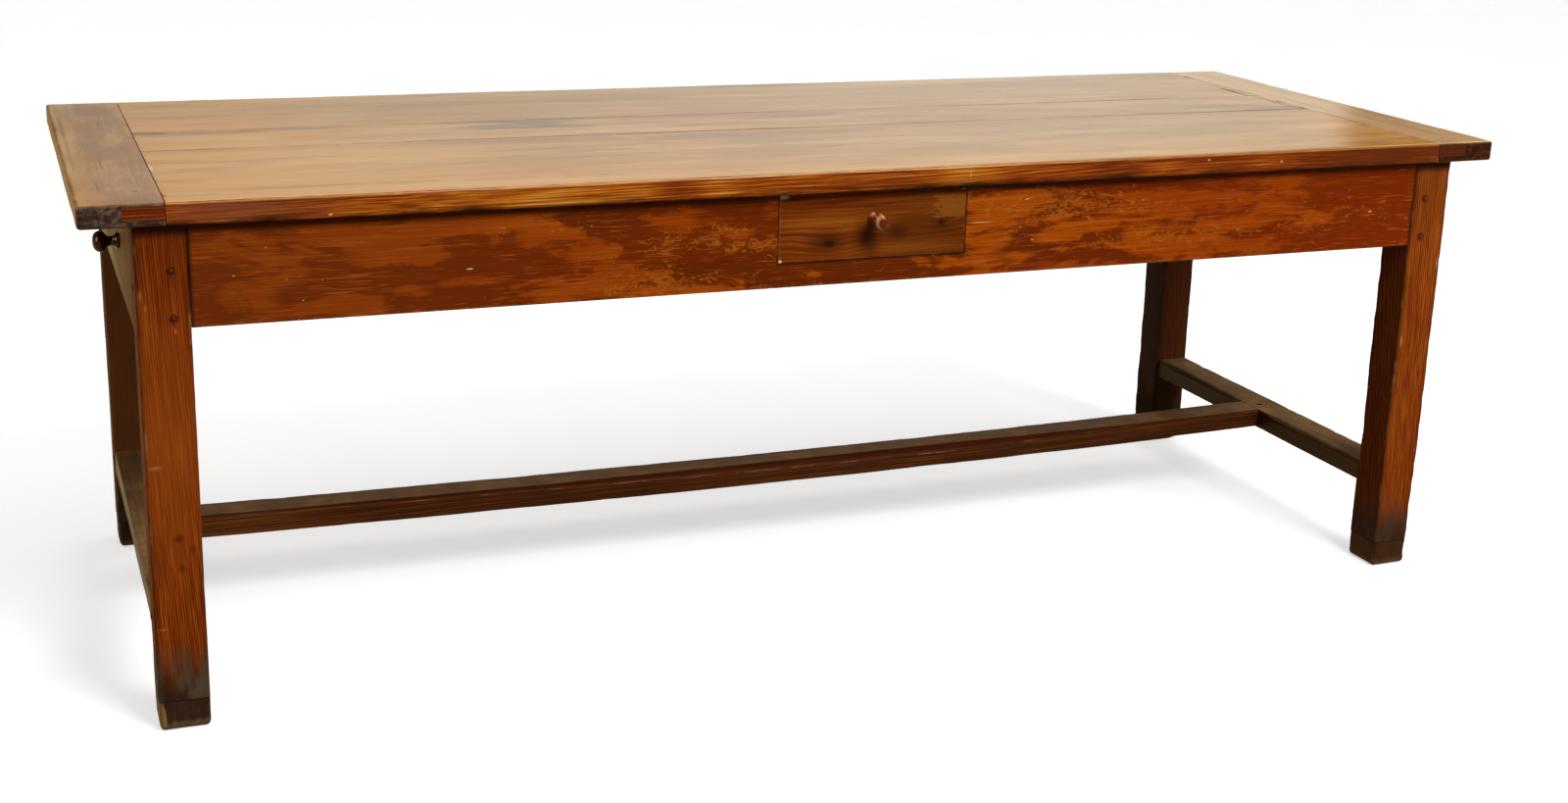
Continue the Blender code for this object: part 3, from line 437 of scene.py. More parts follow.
class Finish(Nodes):
    """A material in the making: its nodes, its places in metres and the colour laid so far."""

    def __init__(self, name, roughness, specular, tint="#FFFFFF"):
        """The tint is that of old shellac or wax, which colours what it mirrors."""
        self.material = bpy.data.materials.new(name)
        self.material.use_nodes = True
        super().__init__(self.material.node_tree)
        self.shader = self.tree.nodes["Principled BSDF"]
        for socket, value in (("Roughness", roughness), ("Specular IOR Level", specular),
                              ("Specular Tint", paint(tint))):
            self.shader.inputs[socket].default_value = value
        self.place = self("TexCoord", out=3)
        self.x, self.y, self.z = (self("SeparateXYZ", self.place, out=part) for part in range(3))
        self.colour = None

    def link(self, **values):
        """Links patterns to the shader's inputs, by name."""
        for name, value in values.items():
            self.tree.links.new(value, self.shader.inputs[name.replace("_", " ")])

    def fit(self, height, relief, **sheen):
        """Links the colour, a height pattern whose whole range is relief metres high, and a Roughness pattern."""
        self.link(Base_Color=self.colour, Normal=self("Bump", Height=height, Distance=relief, Strength=1), **sheen)
        return self.material

    def facing(self):
        """How far the surface looks along x, y and z."""
        return [self("SeparateXYZ", self("NewGeometry", out=1), out=part) for part in range(3)]

    def start(self, pattern, stops, share=0, base=None):
        """The first colour: stops along a pattern, under a share of a colour that a user may change."""
        self.colour = self("ramp", pattern, stops=stops)
        if base:
            self.lay(colour_of(base), share)

    def lay(self, colour, pattern, *spread):
        """Lays a colour over the last one by a pattern: as it is, times one number, or faded by four."""
        if spread:
            pattern = self("times" if len(spread) == 1 else "fade", pattern, *spread)
        self.colour = self("mix", pattern, self.colour, colour)

    def noise(self, place, size, detail=2, roughness=0.5, distortion=0, scale=1):
        """Noise on coordinates that are first stretched by axis."""
        return self("TexNoise", Vector=self("Mapping", Vector=place, Scale=size), Scale=scale, Detail=detail,
                    Roughness=roughness, Distortion=distortion)

    def spots(self, rows, place=None):
        """The sum of soft ellipses: each falls evenly from its strength in its middle to nought at its half
        sizes."""
        total = 0
        for middle, half, strength in rows:
            local = self("Mapping", Vector=place or self.place, Location=middle, Scale=half, vector_type="TEXTURE")
            spot = self("TexGradient", local, out=1, gradient_type="SPHERICAL")
            total = self("muladd", spot, strength, total)
        return total

    def line(self, value, place, width):
        """A mask of 1 where a coordinate is at a place, falling to 0 at the width on both sides."""
        return self("fade", self("size", self("minus", value, place)), 0, width, 1, 0)

    def grain(self, along, pith=(0, 0), tilt=(0, 0)):
        """Object coordinates turned so that x runs with the fibres, as measured from the pith of the tree that the
        board was cut from, and tilted a little, so that the rings run out on the board's faces."""
        turn = {"x": (0, 0, 0), "y": (0, 0, -math.pi / 2), "z": (0, math.pi / 2, 0)}[along]
        lying = self("Mapping", Vector=self.place, Rotation=turn)
        return self("Mapping", Vector=lying, Location=(0.37, *pith), Rotation=(0, *tilt))

    def figure(self, place, ring=0.006, wander=0.02, fibre=240, run=5):
        """A board's figure as four grey patterns from 0 to 1: broad tone, growth rings, fibres and pores.

        Tone is a noise of 150 mm across and 800 mm along. Rings are circles about the pith, pushed aside by the
        same kind of noise. Fibres and pores are noises drawn out along the grain, with run fibres to the metre:
        both are drawn a few times coarser than the real 0.2 mm, so that they show.
        """
        tone = self.noise(place, BROAD, 3, 0.55)
        push = self("TexNoise", Vector=self("Mapping", Vector=place, Scale=BROAD), Scale=0.8, Detail=1.5, out=1)
        aside = self("VectorMath", push, (0, wander, wander), place, operation="MULTIPLY_ADD")
        rings = self("TexWave", Vector=self("Mapping", Vector=aside, Scale=(0.05, 1, 1)), Scale=RING_UNIT / ring,
                     Distortion=1.4, Detail=2, Detail_Scale=1.6, Detail_Roughness=0.6, out=1, wave_type="RINGS",
                     rings_direction="X", wave_profile="SIN")
        fibres = self.noise(aside, (run, fibre, fibre), 3, 0.6)
        pores = self("fade", self.noise(aside, (24, PORE, PORE), 1), 0.56, 0.7, 0, 1)
        return tone, rings, fibres, pores


def top_finish(name, base, along):
    """Waxed fruitwood, hand planed and scrubbed for a century. Light catches a soft sheen over a pale, streaky
    brown with faint rings; it is darkest in the seams and stains and warmest where arms have rubbed its edges."""
    wood = Finish(name, 0.25, 0.5, "#FFF4E6")
    x, z = wood.x, wood.z
    sides = edge_colour(wood, along)
    grain = wood.grain(along, (0.11, 0.16), (0.004, 0.02))
    tone, rings, fibres, pores = wood.figure(grain, 0.011, 0.05, 320)
    wood.start(wood.weigh(tone, 0.62, rings, 0.05, fibres, 0.33), (
        0.37, "#7E4C20", 0.44, "#A0682F", 0.5, "#B57E3D", 0.56, "#C59150", 0.64, "#D8AC70"), 0.25, base)
    clouds = wood.noise(grain, CLOUD, 6, 0.54, 0.15)
    wood.lay("#7A5A3A", clouds, 0.49, 0.64, 0, 0.5)
    wood.lay("#BC7E40", clouds, 0.32, 0.5, 0.45, 0)
    dent = wood.noise(grain, (40, 90, 90))
    nick = wood("fade", dent, 0.7, 0.76, 0, 0.5)
    wood.lay("#6E4420", nick)
    spots, dirt = plank_marks(wood, grain) if along == "x" else cleat_marks(wood, clouds)
    bands = wood.noise(grain, (4.5, 30, 60), 5, 0.6, 0.3)
    wood.lay("#94602E", bands, 0.5, 0.66, 0, 0.48)
    wood.lay("#D6A868", bands, 0.36, 0.48, 0.3, 0)
    broken = wood("fade", wood.noise(grain, CLOUD, 4, 0.6, scale=2.2), 0.36, 0.62, 0.2, 1)
    wood.lay("#3E2C1C", wood("times", spots, broken, use_clamp=True), 0.75)
    wood.lay("#46200E", dirt)
    joint = wood.line(wood("size", x), JOINT_X, 0.0022)
    wood.lay("#8C3614", wood("times", joint, wood("range", x, -0.5, 0.5, 0.95, 0.3)))
    wood.lay("#5E3A1C", pores, 0.2)
    lower = wood("fade", z, TOP_FACE - 0.0026, TOP_FACE - 0.0009, 1, 0)
    wood.lay(sides, lower)
    crest = wood.line(z, TOP_FACE - 0.0019, 0.0011)
    wood.lay("#5E2A10", wood("times", crest, wood("range", dent, 0.35, 0.6, 0.35, 0.9)))
    sheen = wood("muladd", dirt, 0.3, wood.weigh(clouds, 0.12, fibres, 0.04, start=0.03))
    return wood.fit(wood.weigh(fibres, 0.5, rings, 0.2, pores, -0.4, nick, -0.8), 0.00004,
                    Roughness=wood("muladd", lower, 0.25, sheen))


def plank_marks(wood, grain):
    """What use and age have left on the planks: browner and more golden stretches, pale wax, dirty seams, one
    crack that sways along the front board, and stains. Returns the stains and the dirt."""
    x, y = wood.x, wood.y
    stretch = wood("range", x, -1.2, 1.2, 0, 1)
    wood.lay("#8E6840", wood("ramp", stretch, stops=(0.05, 0, 0.35, 0.15, 0.6, 0.5, 0.84, 0.6, 0.92, 0)))
    fore = wood("fade", y, -0.3, 0.02, 1, 0)
    gold = wood("ramp", stretch, stops=(0.84, 0, 0.93, 0.95))
    wood.lay("#DA9C4E", wood("muladd", gold, fore, wood("ramp", stretch, stops=(0.14, 0.8, 0.29, 0))))
    wood.lay("#96601C", wood.spots(on_top(
        (-0.5, 0.3, 0.75, 0.2, 0.8), (0.25, 0.2, 0.6, 0.1, 0.5), (-0.45, -0.335, 0.34, 0.03, 0.4))))
    wood.lay("#E2BC90", wood.spots(on_top(
        (-0.5, -0.035, 0.5, 0.035, 0.3), (0.15, -0.185, 0.55, 0.03, 0.25), (-0.9, -0.2, 0.2, 0.05, 0.15),
        (-0.35, -0.4, 0.7, 0.035, 0.3), (0.6, 0.4, 0.35, 0.05, 0.35))))
    wood.lay("#CC8C42", y, FRONT_FACE + 0.03, FRONT_FACE + 0.2, 0.52, 0)
    wide = wood("range", wood.noise(grain, CLOUD, scale=3), 0.35, 0.65, 0.35, 1)
    faint = wood("ramp", stretch, stops=(0.1, 0.3, 0.24, 0.2, 0.7, 0.2, 0.9, 0.7))
    seam = wood("most", wood.line(y, FIRST_SEAM, 0.005), wood("times", wood.line(y, SECOND_SEAM, 0.006), faint))
    swaying = wood("muladd", wood.noise(wood.place, (2.2, 0, 0), 3), -0.05, y)
    crack = wood("times", wood.line(swaying, MIDDLE_Y - CRACK_DEPTH, 0.003),
                 wood("times", wood("fade", x, 0.04, 0.1, 0.8, 0), wood("fade", x, -0.6, -0.55, 0, 1)))
    wood.lay("#9A5C28", wood.line(y, FIRST_SEAM - 0.01, 0.035), 0.3)
    spots = wood.spots(on_top(
        (-0.43, 0.058, 0.11, 0.034, 3.4), (-0.36, 0.045, 0.07, 0.02, 3), (-0.4, 0.085, 0.1, 0.02, 1.2),
        (-0.2, 0.16, 0.3, 0.03, 0.5), (-0.5, 0.05, 0.06, 0.026, 1.2), (-0.6, 0.02, 0.1, 0.016, 0.5),
        (-0.88, 0.098, 0.24, 0.028, 1.1), (-1.02, 0.105, 0.045, 0.018, 2), (0.1, 0.107, 0.16, 0.016, 0.8),
        (-0.2, 0.29, 0.16, 0.03, 0.6), (0.256, -0.265, 0.022, 0.008, 1.1), (0.49, -0.166, 0.03, 0.009, 0.8),
        (0.53, -0.14, 0.02, 0.006, 0.8), (0.05, -0.09, 0.26, 0.02, 0.55), (0.75, 0.13, 0.22, 0.02, 0.7),
        (1, 0.17, 0.05, 0.035, 0.7), (0.6, 0.02, 0.2, 0.014, 0.5), (0.85, -0.22, 0.1, 0.012, 0.5),
        (-0.293, -0.22, 0.02, 0.006, 0.7), (-0.466, -0.359, 0.016, 0.005, 0.6)))
    slit = wood.spots(on_top((1.018, 0.165, 0.005, 0.062, 3), (1.021, 0.03, 0.003, 0.11, 1.2)))
    dirt = wood("times", wood("most", seam, crack), wide)
    return spots, wood("muladd", dirt, 0.75, slit, use_clamp=True)


def cleat_marks(wood, clouds):
    """What use and age have left on the cleats: rubbed edges, a sunny and a browned end, smudges from hands, and
    stains. Returns the stains and the dirt."""
    x, y = wood.x, wood.y
    edge = wood("Attribute", out=2, attribute_name="edge")
    wood.lay("#C08A42", wood.weigh(clouds, -0.06, edge, 1), -0.03, 0.004, 0.8, 0)
    wood.lay("#DCB484", wood("times", wood("range", x, -0.5, 0.5, 0, 0.7),
                             wood("range", y, -0.25, 0.25, 1, 0.4)))
    wood.lay("#B4713A", wood("range", x, -0.5, 0.5, 0.25, 0))
    wood.lay("#CE9C6C", wood.spots(on_top((-1.05, -0.34, 0.12, 0.34, 0.55))))
    toward = wood.weigh(wood("range", y, -0.3, 0.4, 0.03, -0.05), 1,
                        wood("range", x, -1.14, -1.06, -0.05, 0.04), 1)
    smudge = wood("plus", wood.noise(wood.place, (16, 8, 16), 6, 0.62), toward)
    wood.lay("#763A14", wood("times", wood("fade", smudge, 0.26, 0.64, 0, 0.54),
                             wood("range", x, -0.5, 0.5, 1, 0.2)))
    wood.lay("#C08A3C", x, TOP_LOW.x + 0.01, TOP_LOW.x + 0.05, 0.75, 0)
    wood.lay("#7A3E10", wood("times", wood.line(x, TOP_LOW.x + 0.013, 0.006),
                             wood("range", clouds, 0.4, 0.56, 0, 0.75)))
    spots = wood.spots(on_top(
        (-1.08, -0.3, 0.06, 0.16, 0.15), (-1.07, 0.28, 0.05, 0.14, 0.3), (-1.1, 0.02, 0.04, 0.12, 0.2),
        (-1.06, -0.41, 0.05, 0.02, 0.5)))
    return spots, wood.spots(on_top(
        (-1.098, -0.13, 0.0014, 0.06, 0.8), (-1.113, -0.305, 0.0014, 0.055, 0.8),
        (-1.068, -0.344, 0.004, 0.01, 0.7), (-1.08, 0.21, 0.0014, 0.04, 0.7),
        (-1.125, -0.225, 0.006, 0.003, 0.7), (-1.06, -0.2, 0.0012, 0.045, 0.5)))


def edge_finish(name, along):
    """The same timber below the arris, where nobody polishes: duller, and as dark as its end grain and dirt."""
    wood = Finish(name, 0.45, 0.14, "#FFC488")
    edge_colour(wood, along)
    return wood.fit(wood.noise(wood.place, (8, 8, 500), 3), 0.00025)


def edge_colour(wood, along):
    """The slab's edges: long grain in golden browns under close dark streaks, darker towards the underside. The
    cleats' outer edges are rubbed ochre, and their ends are end grain that looks charred."""
    x, z = wood.x, wood.z
    tone, rings, fibres, _ = wood.figure(wood.grain("x", (0.05, 0.03), (0.01, 0.004)), 0.0055, 0.03, 560, 9)
    lift = wood.spots(on_front(FRONT_FACE, 0.1, *((at, TOP_FACE, wide, 0.1, strength) for at, wide, strength in (
        (-0.35, 0.5, 0.11), (-0.98, 0.2, -0.06), (0.9, 0.4, -0.055), (0.24, 0.07, 0.03), (-0.32, 0.05, -0.13),
        (0.14, 0.1, 0.11), (0.4, 0.1, -0.12), (0.54, 0.08, -0.06), (0.62, 0.06, -0.05), (0.98, 0.24, -0.15)))))
    wood.start(wood.weigh(tone, 0.5, rings, 0.06, fibres, 0.62, lift, 1, start=-0.09), (
        0.34, "#541B07", 0.43, "#8A370A", 0.51, "#B15C12", 0.58, "#CC8428", 0.68, "#E0B060"), 0.12, "edge")
    wood.lay("#8A4E34", wood.spots(on_front(FRONT_FACE, 0.1, (-0.95, TOP_FACE, 0.16, 0.1, 0.6))))
    wood.lay("#5E280C", wood.spots(on_front(FRONT_FACE, 0.1, (0.98, TOP_FACE, 0.24, 0.1, 0.8),
                                            (0.84, UNDER_TOP + 0.01, 0.06, 0.014, 0.5))))
    uneven = wood.noise(wood.place, (10, 30, 60), 5, 0.6)
    wood.lay("#241006", wood("times", wood("fade", z, UNDER_TOP, UNDER_TOP + 0.016, 0.9, 0),
                             wood("range", uneven, 0.42, 0.6, 0, 1.2), use_clamp=True))
    arris = wood("range", uneven, 0.35, 0.6, 0.15, 0.75)
    wood.lay("#C4883E", wood("times", wood("fade", z, TOP_FACE - 0.0052, TOP_FACE - 0.003, 0, 1), arris))
    nicks = wood.spots(on_front(
        FRONT_FACE, 0.1, (0.153, TOP_FACE - 0.012, 0.0014, 0.012, 0.35), (0.72, TOP_FACE - 0.018, 0.003, 0.003, 0.8),
        (0.58, TOP_FACE - 0.01, 0.003, 0.002, 1.2), (-0.82, TOP_FACE - 0.028, 0.004, 0.002, 1.2)))
    wood.lay("#E2C090", wood("least", nicks, 0.75))
    wood.lay("#4E1C06", wood("times", wood.line(z, TOP_FACE - 0.0064, 0.0016), arris))
    if along == "y":
        outer, end = (wood("fade", wood("size", part), 0.5, 0.9, 0, 1) for part in wood.facing()[:2])
        wood.lay(wood("ramp", wood.weigh(uneven, 0.5, z, -14, start=10.75), stops=(
            0.2, "#9A5210", 0.36, "#C88A34", 0.52, "#D0A860", 0.72, "#A89A7C")), outer)
        char = wood.noise(wood.place, (110, 110, 170), 5, 0.65)
        left = wood("ramp", char, stops=(0.36, "#221714", 0.5, "#43312B", 0.66, "#6E5A4C"))
        right = wood("ramp", char, stops=(0.36, "#1A0904", 0.52, "#2E1207", 0.68, "#5A2C12"))
        wood.lay(wood("mix", wood("Math", x, 0, operation="GREATER_THAN"), left, right), end)
    return wood.colour


def tongue_finish():
    """End of a fruitwood tongue, held in its groove: on the left it is redder and brighter than the dark cleat
    round it, and on the right the same dirt covers both."""
    wood = Finish("waxed fruitwood tongue", 0.45, 0.12, "#FFC488")
    tone, rings, fibres, _ = wood.figure(wood.grain("x", (0.02, 0.02)), 0.004, 0.01, 560)
    wood.start(wood.weigh(tone, 0.4, rings, 0.1, fibres, 0.6, start=-0.05),
               (0.36, "#3E1206", 0.46, "#6C280C", 0.55, "#8E3E16", 0.68, "#A45A2A"))
    wood.lay("#3A170A", wood("range", wood.x, -0.1, 0.1, 0, 0.8))
    return wood.fit(fibres, 0.0003)


def rail_finish(name, along, specular, dust):
    """Pine under old red-brown shellac: it has gone dark in frayed clouds and is thin and orange between them,
    it is crazed where sun and hands reached it, and cloths have left fine pale scratches along the grain. The end
    rails keep more gloss under a film of pale dust."""
    wood = Finish(name, 0.42, specular, "#FFB070")
    x, y, z = wood.x, wood.y, wood.z
    grain = wood.grain(along, (0.09, -0.55), (0.006, 0.004))
    tone, _, fibres, _ = wood.figure(grain, 0.009, 0.02, 520)
    clouds = wood.noise(grain, (7, 21, 21), 8, 0.6, 0.6)
    front = FRONT_FACE + 0.017
    patches = wood.spots(on_front(
        front, 0.2,
        (-0.62, 0.655, 0.24, 0.022, -0.18), (-0.65, 0.611, 0.1, 0.02, -0.26), (-0.33, 0.672, 0.11, 0.034, -0.16),
        (-0.48, 0.716, 0.08, 0.016, -0.24), (-0.23, 0.706, 0.13, 0.03, -0.17), (-0.31, 0.612, 0.07, 0.018, -0.14),
        (-0.17, 0.666, 0.04, 0.022, -0.22), (0.39, 0.612, 0.07, 0.02, -0.22), (0.41, 0.642, 0.05, 0.014, -0.14),
        (0.85, 0.676, 0.1, 0.03, -0.18), (0.94, 0.716, 0.09, 0.022, -0.3), (0.9, 0.612, 0.14, 0.02, -0.1),
        (-0.2, 0.64, 0.1, 0.03, -0.12), (-0.97, 0.68, 0.07, 0.03, -0.08), (-0.98, 0.605, 0.09, 0.02, -0.12),
        (0.02, 0.608, 0.24, 0.026, -0.2), (0.45, 0.6, 0.1, 0.02, -0.12), (0.97, 0.66, 0.05, 0.11, -0.1),
        (-0.79, 0.702, 0.17, 0.03, 0.3), (-0.63, 0.714, 0.1, 0.02, 0.28), (-0.84, 0.655, 0.12, 0.02, 0.12),
        (-0.73, 0.672, 0.09, 0.018, 0.26), (-0.44, 0.662, 0.09, 0.016, 0.22), (-0.49, 0.612, 0.1, 0.022, 0.28),
        (-0.81, 0.612, 0.08, 0.014, 0.2), (-0.08, 0.612, 0.05, 0.014, 0.1), (-0.26, 0.64, 0.06, 0.018, 0.1),
        (0.24, 0.68, 0.09, 0.04, 0.14), (0.16, 0.612, 0.07, 0.018, 0.22), (0.32, 0.648, 0.06, 0.018, 0.22),
        (0.5, 0.69, 0.12, 0.026, 0.16), (0.64, 0.648, 0.1, 0.018, 0.22), (0.72, 0.716, 0.08, 0.016, 0.18),
        (0.52, 0.612, 0.08, 0.016, 0.14), (0.66, 0.69, 0.12, 0.03, 0.08)))
    leftward = wood("range", x, -0.9, 0.1, -0.03, 0.02)
    tint = wood.weigh(clouds, 1.15, patches, 1.1, fibres, 0.12, leftward, 1, start=-0.16)
    thick = wood("ramp", fibres, stops=(0.34, "#431503", 0.5, "#571E04", 0.66, "#6C2A06"))
    thin = wood("ramp", fibres, stops=(0.34, "#963C04", 0.5, "#AA4C08", 0.66, "#BA5E12"))
    wood.colour = wood("mix", wood("fade", tint, 0.43, 0.56, 0, 1), thick, thin)
    wood.lay(colour_of("rail"), 0.15)
    wood.lay("#7A2703", tone, 0.42, 0.6, 0.45, 0)
    if along == "x":
        wood.lay("#8C2A00", wood("range", x, 0.1, 0.9, 0, 0.35))
        wood.lay("#744018", wood("range", x, -1, -0.3, 0.25, 0))
    worn_noise = wood.noise(grain, (15, 38, 38), 7, 0.66, 0.8)
    craze = wood.noise(grain, (75, 190, 190), 3, 0.6, 1.2)
    where = wood.spots(on_front(
        front, 0.2,
        (-0.34, 0.612, 0.17, 0.03, 0.17), (-0.27, 0.675, 0.13, 0.034, 0.15), (-0.17, 0.65, 0.1, 0.03, 0.1),
        (0.26, 0.69, 0.13, 0.055, 0.14), (0.42, 0.69, 0.17, 0.04, 0.13), (0.5, 0.635, 0.22, 0.03, 0.11),
        (-0.85, 0.66, 0.35, 0.09, -0.1), (0.78, 0.64, 0.2, 0.04, 0.08), (-0.5, 0.7, 0.12, 0.016, 0.09)))
    crazed = wood("fade", wood.weigh(worn_noise, 0.6, craze, 0.65, where, 1.35, start=-0.165), 0.58, 0.66, 0, 0.55)
    wood.lay(wood("ramp", craze, stops=(0.4, "#944006", 0.52, "#B05A12", 0.62, "#C06C20")), crazed)
    crackle = wood("TexVoronoi", Vector=wood("Mapping", Vector=grain, Scale=(60, 230, 230)), Scale=1,
                   feature="DISTANCE_TO_EDGE")
    wood.lay("#5A2204", wood("times", wood("fade", crackle, 0.02, 0.16, 0.6, 0), crazed))
    scratch = wood.weigh(wood.noise(grain, (22, 700, 700), 1.5), 1, clouds, -0.25, tone, -0.2, start=0.225)
    scratch = wood("fade", scratch, 0.62, 0.74, 0, 0.65)
    wood.lay("#B85C26", scratch)
    marks = wood.spots(on_front(front, 0.1, (0.18, 0.675, 0.03, 0.001, 1),
                                (-0.625, 0.65, 0.006, 0.0016, 1.6), (0.92, 0.655, 0.004, 0.002, 1.4)))
    fleck = wood("fade", wood.noise(grain, (70, 220, 220), 0), 0.88, 0.895, 0, 0.8)
    wood.lay("#DDBA8C", wood("least", wood("plus", fleck, marks, use_clamp=True), 0.85))
    shadow = wood("fade", z, UNDER_TOP - 0.015, UNDER_TOP - 0.004, 0, 0.75)
    if along == "x":
        shadow = wood("times", shadow, wood("range", x, 0.1, 0.7, 1, 0.5))
    wood.lay("#2A0F04", shadow)
    if along == "x":
        low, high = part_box("front_drawer_front")
        off_x = wood.weigh(wood("size", x), 1, start=-high.x)
        off_z = wood.weigh(wood("size", wood("minus", z, (low.z + high.z) / 2)), 1, start=-(high.z - low.z) / 2)
        gap = wood("fade", wood("most", off_x, off_z), 0.0012, 0.004, 0.85, 0)
        gap = wood("times", gap, wood("Math", y, 0, operation="LESS_THAN"))
        corner = wood("times", wood.line(wood("size", x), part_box("leg_front_right")[0].x, 0.007), 0.85)
        wood.lay("#260E06", wood("most", gap, corner))
    rim = wood("times", wood.line(z, RAIL_RIM, 0.0035), wood("range", craze, 0.45, 0.62, 0, 0.6))
    wood.lay("#A8763C", rim)
    wood.lay("#5C5230", wood("range", clouds, 0.3, 0.7, dust * 0.8, dust * 1.2))
    # On the end rails, a dark line along the sides of the end drawer, and painted shade that darkens the rail
    # towards its lower edge
    if along == "y":
        low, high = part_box("end_drawer_front")
        beside = wood("size", wood.weigh(y, 1, start=-MIDDLE_Y))
        wood.lay("#2A180C", wood("most", wood.line(beside, (high.y - low.y) / 2, 0.012),
                                 wood("range", z, 0.6, 0.72, 0.5, 0)))
    matt = wood("range", y, -0.32, 0.1, dust * 0.6, 0)
    return wood.fit(wood.weigh(fibres, 0.5, crazed, -0.5, scratch, -0.3), 0.00015,
                    Roughness=wood.weigh(clouds, 0.2, fibres, 0.15, crazed, 0.12, matt, 1, start=0.24))


def leg_finish():
    """Oak, planed by hand and waxed brown: close dark grain lines run a few degrees off upright, the corners hold
    old wax, and near the floor mop water has turned it almost black. Painted shade darkens the rear pair, the faces
    turned to the left and the tops of all four under the table top, and painted light brightens the front of the
    rear left leg."""
    wood = Finish("waxed oak leg", 0.5, 0.1, "#FFB878")
    x, y, z = wood.x, wood.y, wood.z
    edge = wood("Attribute", out=2, attribute_name="edge")
    sideways, ahead, _ = wood.facing()
    tone, rings, fibres, pores = wood.figure(wood.grain("z", (0.03, 0.21), (0.05, 0.028)), 0.0034, 0.018, 430, 3)
    wood.start(wood.weigh(tone, 0.4, rings, 0.08, fibres, 0.52), (
        0.36, "#641F05", 0.44, "#843108", 0.51, "#9A440C", 0.58, "#AC5414", 0.68, "#BC6A2A"), 0.15, "leg")
    wood.lay("#4A1C06", wood.weigh(fibres, 0.7, rings, 0.3), 0.47, 0.37, 0, 0.6)
    wood.lay("#3A1605", pores, 0.3)
    patchy = wood.noise(wood.place, (40, 40, 12), 4, 0.6)
    wood.lay("#3A1808", wood("times", wood("fade", edge, 0.001, 0.012, 0.75, 0),
                             wood("range", patchy, 0.35, 0.62, 0.25, 1)))
    wood.lay("#A9784A", wood("times", wood("fade", edge, 0, 0.0055, 1, 0),
                             wood("fade", patchy, 0.56, 0.66, 0, 0.8)))
    # Painted shade: the upper part of each leg darkens towards the table top
    wood.lay("#4A1A06", z, UNDER_TOP - 0.2, UNDER_TOP - 0.02, 0, 0.35)
    face = MIDDLE_Y - 0.41
    wood.lay("#B4581A", wood.spots(on_front(face, 0.2, (-1.044, 0.42, 0.2, 0.24, 0.45))))
    # Painted shadow: a dark band along each leg right under the table top
    wood.lay("#1E0C05", z, UNDER_TOP - 0.022, UNDER_TOP - 0.008, 0, 0.75)
    # Painted shade: the rear legs, most of all the right one, and the faces turned to the left are laid towards dark
    # brown
    rear = wood("range", y, -0.3, 0.3, 0, 1)
    shaded = wood("between", rear, 1, wood("range", x, -1, 1, 0.8, 0.32))
    rear_and_left_shade = wood("minus", 1, wood("times", wood("range", sideways, -0.4, -0.9, 1, 0.5), shaded))
    inner = wood("mix", wood("range", sideways, -0.4, -0.9, 0, 1), "#3C2B1E", "#584A3C")
    wood.lay(wood("mix", rear, "#27150C", inner), rear_and_left_shade)
    # Painted light: the front face of the rear left leg is laid towards a paler brown
    rear_left_painted_light = wood("times", wood("range", ahead, -0.5, -0.9, 0, 0.6), wood("range", x, -0.2, -0.6, 0, 1))
    wood.lay("#AC7040", wood("times", rear_left_painted_light, wood("range", y, 0, 0.2, 0, 1)))
    wood.lay("#261C16", wood.weigh(patchy, -0.075, z, 1), 0.018, 0.115, 0.95, 0)
    low = wood("times", wood("fade", z, 0.06, 0.15, 1, 0), wood("range", x, -1, 1, 1, 0.3))
    wood.lay("#705E46", wood("times", wood("fade", patchy, 0.38, 0.6, 0, 0.5), low))
    grime = on_front(LEG_FRONT, 0.012, *((far, up, 0.0095, 0.008, 0.7)
                                         for far in (-1.031, 1.031) for up in (0.603, 0.6695)))
    grime += on_front(face, 0.1, (-1.04, 0.29, 0.009, 0.009, 0.8), (-1.038, 0.245, 0.007, 0.008, 0.7),
                      (-1.022, 0.272, 0.006, 0.012, 0.5))
    wood.lay("#2A1006", wood("least", wood.spots(grime), 0.8))
    marks = wood.spots(on_front(
        face, 0.1, (-1.066, 0.396, 0.012, 0.004, 0.6), (-1.076, 0.43, 0.003, 0.026, 0.5),
        (-1.068, 0.157, 0.009, 0.0014, 0.9), (-1.073, 0.64, 0.0025, 0.01, 0.6), (-1.067, 0.622, 0.002, 0.006, 0.6),
        (-1.03, 0.588, 0.002, 0.005, 0.8), (1.016, 0.42, 0.003, 0.012, 1.2), (1.072, 0.56, 0.002, 0.02, 1)))
    wood.lay("#C09A70", wood("times", marks, wood("range", pores, 0, 0.3, 0.6, 0.9), use_clamp=True))
    return wood.fit(wood.weigh(fibres, 0.5, rings, 0.4, pores, -0.7), 0.0003,
                    Roughness=wood.weigh(patchy, 0.22, fibres, 0.12, rear_and_left_shade, 0.35, start=0.36))


